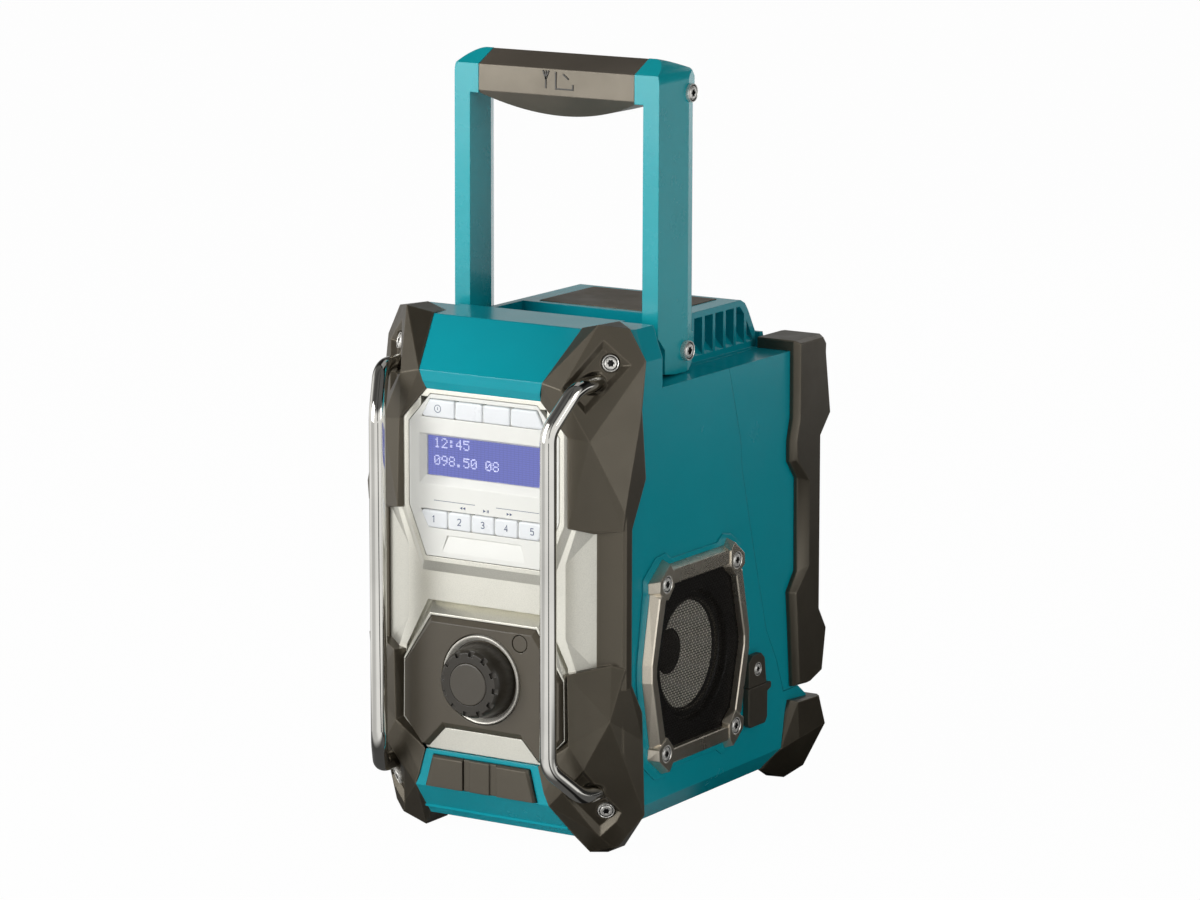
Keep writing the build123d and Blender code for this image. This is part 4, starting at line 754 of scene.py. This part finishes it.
def corner_at(points, n):
    """A corner of an outline with the one before it and the one after it."""
    return (Vector(points[(n + step) % len(points)]) for step in (-1, 0, 1))


def inset(points, margin):
    """Convex outline moved inwards by a margin."""
    moved = []
    for n in range(len(points)):
        before, here, after = corner_at(points, n)
        first, second = (here - before).normalized(), (after - here).normalized()
        inward_a, inward_b = Vector((-first.y, first.x)), Vector((-second.y, second.x))
        bisector = (inward_a + inward_b).normalized()
        moved.append(here + bisector * margin / bisector.dot(inward_a))
    return moved


def rounded(points, radius, steps=4):
    """Convex outline with its corners on arcs."""
    result = []
    for n in range(len(points)):
        before, here, after = corner_at(points, n)
        to_a, to_b = (before - here).normalized(), (after - here).normalized()
        half = to_a.angle(to_b) / 2
        middle = here + (to_a + to_b).normalized() * radius / math.sin(half)
        start = here + to_a * radius / math.tan(half) - middle
        end = here + to_b * radius / math.tan(half) - middle
        sweep = start.angle_signed(end)
        for step in range(steps + 1):
            result.append(middle + Matrix.Rotation(-sweep * step / steps, 2) @ start)
    return result


def soft_key(node, outline):
    """Key with rounded corners and a cushioned face."""
    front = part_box(node)[0].y
    data = bmesh.new()
    rings = []
    for margin, depth in KEY_PROFILE:
        points = rounded(inset(outline, margin * MM), max(KEY_CORNER - margin, KEY_CORNER_LEAST) * MM)
        rings.append([data.verts.new((point.x, front + depth * MM, point.y)) for point in points])
    skin(data, rings)
    close_ends(data, rings)
    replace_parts(piece(node + "_soft", data, "key", BODY_OF[node]), node)


def build_keys():
    for kind, (row, lean_top, lean_low) in KEY_ROWS.items():
        for number, node in enumerate(row):
            low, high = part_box(node)
            left, right = number == 0, number == len(row) - 1
            soft_key(node, [(low.x + lean_low * left, low.z), (high.x - lean_low * right, low.z),
                            (high.x - lean_top * right, high.z), (low.x + lean_top * left, high.z)])
        data = bmesh.new()
        for node, after in zip(row, row[1:]):
            low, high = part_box(node)
            web = (high.x + WEB_GAP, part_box(after)[0].x - WEB_GAP)
            tile(data, *web, low.z, high.z, low.y + WEB_FRONT, low.y + WEB_BACK)
        piece("webs_between_" + kind + "_row", data, "panel", "case", smooth=False)


def build_knob_ring():
    """Polished ring with a wide slope towards the knob."""
    low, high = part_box("knob_ring")
    centre = Vector(((low.x + high.x) / 2, high.y, (low.z + high.z) / 2))
    outer, tall = (high.x - low.x) / 2, high.y - low.y
    profile = [(outer - margin * MM, tall * share) for margin, share in RING_PROFILE]
    data = bmesh.new()
    rings = turned(data, profile, Matrix.Translation(centre) @ facing((0, -1, 0)), RING_SEGMENTS)
    skin(data, rings + rings[:1])
    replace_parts(piece("knob_ring_polished", data, "ring", "case"), "knob_ring")


# ---------------------------------------------------------------- display and print
DIGITS = {      # rows of five dots from the top down, in binary; all ten digits, so that the lines can change
    "0": (14, 17, 19, 21, 25, 17, 14), "1": (4, 12, 4, 4, 4, 4, 14), "2": (14, 17, 1, 2, 4, 8, 31),
    "3": (31, 2, 4, 2, 1, 17, 14), "4": (2, 6, 10, 18, 31, 2, 2), "5": (31, 16, 30, 1, 1, 17, 14),
    "6": (6, 8, 16, 30, 17, 17, 14), "7": (31, 1, 2, 4, 8, 8, 8), "8": (14, 17, 17, 14, 17, 17, 14),
    "9": (14, 17, 17, 15, 1, 2, 12), ".": (0, 0, 0, 0, 0, 12, 12), ":": (0, 12, 12, 0, 12, 12, 0),
    " ": (0, 0, 0, 0, 0, 0, 0),
}
DOT, CELL = 0.66 * MM, 0.78 * MM
DOT_PROUD, DOT_DEPTH = 0.08 * MM, 0.05 * MM
LETTER_STEP, LINE_STEP = 6 * CELL, 12.2 * CELL
DISPLAY_LEFT, DISPLAY_DROP = -34.6 * MM, 5.4 * MM     # first dot, from the middle and from the display's top
DISPLAY_LINES = ("12:45", "098.50 08")

PRINT_HEIGHT, PRINT_DEPTH = 0.06 * MM, 0.02 * MM      # of the ink, over and under the face that it is on
NUMBER_STROKES = {      # strokes of the key numbers on a grid 1 wide and 2 high, as point lists
    "1": [[(0.15, 1.6), (0.55, 2.0), (0.55, 0.0)]],
    "2": [[(0.0, 1.6), (0.12, 1.9), (0.5, 2.0), (0.88, 1.9), (1.0, 1.5), (0.9, 1.1), (0.0, 0.0), (1.0, 0.0)]],
    "3": [[(0.0, 1.75), (0.4, 2.0), (0.8, 1.9), (0.95, 1.5), (0.8, 1.15), (0.4, 1.05)],
          [(0.4, 1.05), (0.85, 0.9), (1.0, 0.5), (0.85, 0.12), (0.4, 0.0), (0.0, 0.25)]],
    "4": [[(0.75, 0.0), (0.75, 2.0), (0.0, 0.6), (1.0, 0.6)]],
    "5": [[(0.95, 2.0), (0.1, 2.0), (0.05, 1.15), (0.5, 1.3), (0.9, 1.1), (1.0, 0.6), (0.85, 0.12),
           (0.4, 0.0), (0.0, 0.25)]],
}
NUMBER_X, NUMBER_Z, NUMBER_LINE = 2.0 * MM, 1.75 * MM, 0.46 * MM    # steps of the grid, and width of the line
SIGN_R, SIGN_STEPS, SIGN_LINE = 2.0 * MM, 28, 0.34 * MM             # ring of the power sign
SIGN_BAR = (-0.7 * MM, 0.8 * MM)

RULES, RULE_Z, RULE_LINE = ((-31.7, -5.5), (8.0, 35.0)), 187.4 * MM, 0.25 * MM     # ends in millimetres
MARKS = ((-13.4, (-1, -1)), (1.5, (1, 0)), (16.4, (1, 1)))    # middle in millimetres; arrows' ways, 0 for bars
MARK_Z, MARK_STEP, ARROW_HALF = 184.8 * MM, 0.95 * MM, 0.8 * MM
BAR_PLACES, BAR_WIDTH, BAR_HALF = (-0.35 * MM, 0.45 * MM), 0.4 * MM, 0.75 * MM

GRIP_STROKES = [        # an aerial and a folding handle, in units of GRIP_UNIT from the sign's middle
    [(-9.0, 6.0), (-7.0, 1.0)], [(-5.0, 6.0), (-7.0, 1.0)], [(-7.0, 6.0), (-7.0, -4.5)],
    [(0.0, 5.5), (0.0, -4.5), (3.0, -4.5)], [(3.0, -4.5), (12.0, -4.5), (12.0, -1.5)],
    [(5.0, 4.5), (9.0, 1.5)],
]
GRIP_UNIT, GRIP_LINE, GRIP_LIFT = 0.9 * MM, 0.8 * MM, 3.0 * MM
GRIP_PROUD, GRIP_DEPTH = 0.25 * MM, 0.3 * MM


def build_display():
    """Plain numbers in dots on the display."""
    low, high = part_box("lcd_module")
    front, back = low.y - DOT_PROUD, low.y + DOT_DEPTH
    data = bmesh.new()
    for row, line in enumerate(DISPLAY_LINES):
        for column, character in enumerate(line):
            for step, bits in enumerate(DIGITS[character]):
                for bit in range(5):
                    if bits >> (4 - bit) & 1:
                        x = DISPLAY_LEFT + column * LETTER_STEP + bit * CELL
                        z = high.z - DISPLAY_DROP - row * LINE_STEP - step * CELL
                        tile(data, x, x + DOT, z - DOT, z, front, back)
    piece("display_numbers", data, "dots", "case", smooth=False)


def printed(name, strokes, width, node):
    """Ink on the front face of a node."""
    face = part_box(node)[0].y
    data = bmesh.new()
    for points in strokes:
        stroke(data, points, width, face - PRINT_HEIGHT, face + PRINT_DEPTH)
    piece(name, data, "ink", BODY_OF[node], smooth=False)


def middle_of(node):
    low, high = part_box(node)
    return (low.x + high.x) / 2, (low.z + high.z) / 2


def build_print():
    """Numbers on the preset keys, the power sign, and thin lines with search marks over the presets."""
    for number, node in zip("12345", PRESET_KEYS):
        cx, cz = middle_of(node)
        strokes = [[(cx + (x - 0.5) * NUMBER_X, cz + (z - 1.0) * NUMBER_Z) for x, z in line]
                   for line in NUMBER_STROKES[number]]
        printed("number_on_" + node, strokes, NUMBER_LINE, node)
    cx, cz = middle_of("key_power")
    turns = [2 * math.pi * n / SIGN_STEPS for n in range(SIGN_STEPS + 1)]
    ring = [(cx + SIGN_R * math.sin(turn), cz + SIGN_R * math.cos(turn)) for turn in turns]
    printed("sign_on_key_power", [ring, [(cx, cz + z) for z in SIGN_BAR]], SIGN_LINE, "key_power")

    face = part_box("display_panel")[0].y
    front, back = face - PRINT_HEIGHT, face + PRINT_DEPTH
    data = bmesh.new()
    for start, end in RULES:
        stroke(data, [(start * MM, RULE_Z), (end * MM, RULE_Z)], RULE_LINE, front, back)
    for middle, ways in MARKS:
        for x, way in zip((middle * MM - MARK_STEP, middle * MM + MARK_STEP), ways):
            if way:
                foot, tip = x - ARROW_HALF * way, x + ARROW_HALF * way
                corners = [(foot, MARK_Z - ARROW_HALF), (tip, MARK_Z), (foot, MARK_Z + ARROW_HALF)]
                prism(data, corners, front, back)
                continue
            for bar in BAR_PLACES:
                tile(data, x + bar, x + bar + BAR_WIDTH, MARK_Z - BAR_HALF, MARK_Z + BAR_HALF, front, back)
    piece("rule_over_presets", data, "ink", "case", smooth=False)


def build_grip_sign():
    """Generic sign pressed into the grip: an aerial beside a folding handle."""
    low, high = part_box("handle_grip")
    z = (low.z + high.z) / 2 + GRIP_LIFT
    data = bmesh.new()
    for points in GRIP_STROKES:
        line = [(x * GRIP_UNIT, z + h * GRIP_UNIT) for x, h in points]
        stroke(data, line, GRIP_LINE, low.y - GRIP_PROUD, low.y + GRIP_DEPTH)
    piece("grip_sign", data, "knob", "handle", smooth=False)


# ---------------------------------------------------------------- stage, light and camera
# Dark flags of the studio that shiny surfaces mirror: azimuth, half width, soft edge, share of light taken
FLAGS = ((37.0, 3.5, 7.0, 0.9), (148.0, 30.0, 46.0, 0.97), (-32.0, 12.0, 36.0, 0.35),
         (-120.0, 12.0, 22.0, 0.85), (-152.0, 10.0, 26.0, 0.5))
FAR_FROM, FAR_TO, FAR_LEVEL = 1.38, 1.7, 0.9         # distance where the mirrored floor turns bright all round
NEAR_FROM, NEAR_TO, NEAR_LEVEL = 0.2, 0.55, 0.12     # shade of the object on the mirrored floor
AHEAD_FROM, AHEAD_TO = -0.20, -0.125                 # the light side of the floor in front of the object
FLOOR_HALF, FLOOR_DROP = 6.0, 0.0002
FLOOR_WHITE = 0.98            # share of plain white in what the camera sees of the floor
WORLD_TINT = (1.0, 0.995, 0.985, 1.0)
LIT_LEVEL = 0.22              # of the world, on what is lit
HIGH_LEVEL = 0.12             # of the world overhead, in mirrors
HIGH_FROM, HIGH_TO = 0.22, 0.6                       # sine of the elevation where the overhead part begins
LAMPS = (       # azimuth, distance, height, size, and brightness, where 1 is as bright as white paper
    ("key", -30.0, 2.1, 0.85, (1.4, 1.6), 5.6),
    ("rim", 178.0, 2.1, 0.75, (1.0, 1.4), 1.2),
    ("side", 84.0, 2.3, 0.8, (0.8, 1.2), 2.7),
    ("top", 180.0, 0.6, 2.1, (1.4, 1.0), 0.35),
)
LAMP_AIM = Vector((0, 0, 0.2))


def combine(tree, operation, *values):
    """Math node over numbers and outputs of other nodes."""
    node = tree.nodes.new("ShaderNodeMath")
    node.operation = operation
    for value, target in zip(values, node.inputs):
        if isinstance(value, (int, float)):
            target.default_value = value
        else:
            tree.links.new(value, target)
    return node.outputs[0]


def flags(tree, vector):
    """Share of light that is left in each direction round the object, and the parts of the vector."""
    split = tree.nodes.new("ShaderNodeSeparateXYZ")
    tree.links.new(vector, split.inputs[0])
    forward = combine(tree, "MULTIPLY", split.outputs["Y"], -1.0)
    angle = combine(tree, "ARCTAN2", split.outputs["X"], forward)
    degrees = combine(tree, "MULTIPLY", angle, math.degrees(1.0))
    left = 1.0
    for middle, inner, outer, share in FLAGS:
        away = combine(tree, "ABSOLUTE", combine(tree, "SUBTRACT", degrees, middle))
        taken = combine(tree, "MULTIPLY", map_range(tree, away, inner, outer, 1.0, 0.0), share)
        left = combine(tree, "MULTIPLY", combine(tree, "SUBTRACT", 1.0, taken), left)
    return left, split


def floor_material():
    """Pale floor that the camera sees nearly white, with the object's shadow kept."""
    material = bpy.data.materials.new("pale_floor")
    material.use_nodes = True
    tree = material.node_tree
    tree.nodes.clear()
    output = tree.nodes.new("ShaderNodeOutputMaterial")
    plain = tree.nodes.new("ShaderNodeBsdfDiffuse")
    plain.inputs["Color"].default_value = linear(FLOOR)
    glow = tree.nodes.new("ShaderNodeEmission")
    place = tree.nodes.new("ShaderNodeTexCoord").outputs["Object"]
    left, split = flags(tree, place)
    length = tree.nodes.new("ShaderNodeVectorMath")
    length.operation = "LENGTH"
    tree.links.new(place, length.inputs[0])
    reach = length.outputs["Value"]
    far = map_range(tree, reach, FAR_FROM, FAR_TO, 0.0, FAR_LEVEL)
    near = map_range(tree, reach, NEAR_FROM, NEAR_TO, NEAR_LEVEL, 1.0)
    ahead = map_range(tree, split.outputs["Y"], AHEAD_FROM, AHEAD_TO, 1.0, 0.0)
    shade = combine(tree, "MAXIMUM", near, ahead)
    mirrored = combine(tree, "MULTIPLY", combine(tree, "MAXIMUM", left, far), shade)
    rays = tree.nodes.new("ShaderNodeLightPath").outputs
    tree.links.new(combine(tree, "MAXIMUM", rays["Is Camera Ray"], mirrored), glow.inputs["Strength"])
    shown = combine(tree, "MULTIPLY", rays["Is Camera Ray"], FLOOR_WHITE)
    mix = tree.nodes.new("ShaderNodeMixShader")
    tree.links.new(combine(tree, "MAXIMUM", shown, rays["Is Glossy Ray"]), mix.inputs[0])
    tree.links.new(plain.outputs[0], mix.inputs[1])
    tree.links.new(glow.outputs[0], mix.inputs[2])
    tree.links.new(mix.outputs[0], output.inputs["Surface"])
    return material


def build_stage():
    data = bmesh.new()
    bmesh.ops.create_grid(data, x_segments=2, y_segments=2, size=FLOOR_HALF)
    mesh = bpy.data.meshes.new("floor")
    data.to_mesh(mesh)
    data.free()
    mesh.materials.append(floor_material())
    floor = add_object("floor", mesh)
    floor.location = (0, 0, -FLOOR_DROP)


def soft_light(name, azimuth, distance, height, size, radiance):
    """Soft box at an azimuth round the object."""
    turn = math.radians(azimuth)
    place = Vector((distance * math.sin(turn), -distance * math.cos(turn), height))
    light = bpy.data.lights.new(name, "AREA")
    light.shape = "RECTANGLE"
    light.size, light.size_y = size
    light.energy = radiance * math.pi * size[0] * size[1]
    lamp = add_object(name, light)
    lamp.location = place
    lamp.rotation_mode = "QUATERNION"
    lamp.rotation_quaternion = (LAMP_AIM - place).to_track_quat("-Z", "Y")


def build_light():
    """White room with dark flags that shiny surfaces mirror, a low even fill, and soft boxes."""
    world = bpy.data.worlds.new("studio")
    bpy.context.scene.world = world
    world.use_nodes = True
    tree = world.node_tree
    background = tree.nodes["Background"]
    background.inputs["Color"].default_value = WORLD_TINT
    rays = tree.nodes.new("ShaderNodeLightPath").outputs
    left, split = flags(tree, tree.nodes.new("ShaderNodeTexCoord").outputs["Generated"])
    high = map_range(tree, split.outputs["Z"], HIGH_FROM, HIGH_TO, 1.0, HIGH_LEVEL)
    mirrored = combine(tree, "MULTIPLY", combine(tree, "MULTIPLY", left, high), rays["Is Glossy Ray"])
    shown = combine(tree, "MAXIMUM", rays["Is Camera Ray"], rays["Is Transmission Ray"])
    lit = combine(tree, "MULTIPLY", combine(tree, "SUBTRACT", 1.0, rays["Is Glossy Ray"]), LIT_LEVEL)
    level = combine(tree, "MAXIMUM", combine(tree, "MAXIMUM", shown, mirrored), lit)
    tree.links.new(level, background.inputs["Strength"])
    for lamp in LAMPS:
        soft_light(*lamp)


def build_camera():
    turn, tilt = math.radians(CAMERA_AZIMUTH), math.radians(CAMERA_ELEVATION)
    back = Vector((math.sin(turn) * math.cos(tilt), -math.cos(turn) * math.cos(tilt), math.sin(tilt)))
    right = Vector((math.cos(turn), math.sin(turn), 0))
    up = back.cross(right)
    lens = bpy.data.cameras.new("camera")
    lens.lens, lens.sensor_width = LENS, SENSOR
    lens.clip_start, lens.clip_end = CLIP_NEAR, CLIP_FAR
    camera = add_object("camera", lens)
    upright = Matrix((right, up, back)).transposed().to_4x4()
    roll = Matrix.Rotation(math.radians(CAMERA_ROLL), 4, "Z")
    camera.matrix_world = Matrix.Translation(CAMERA_TARGET + back * CAMERA_DISTANCE) @ upright @ roll
    bpy.context.scene.camera = camera


bpy.context.scene.view_settings.view_transform = "Standard"
build_camera()
build_light()
build_stage()
dress_nodes()
round_edges()
build_screws()
build_speakers()
build_keys()
build_knob_ring()
build_display()
build_print()
build_grip_sign()
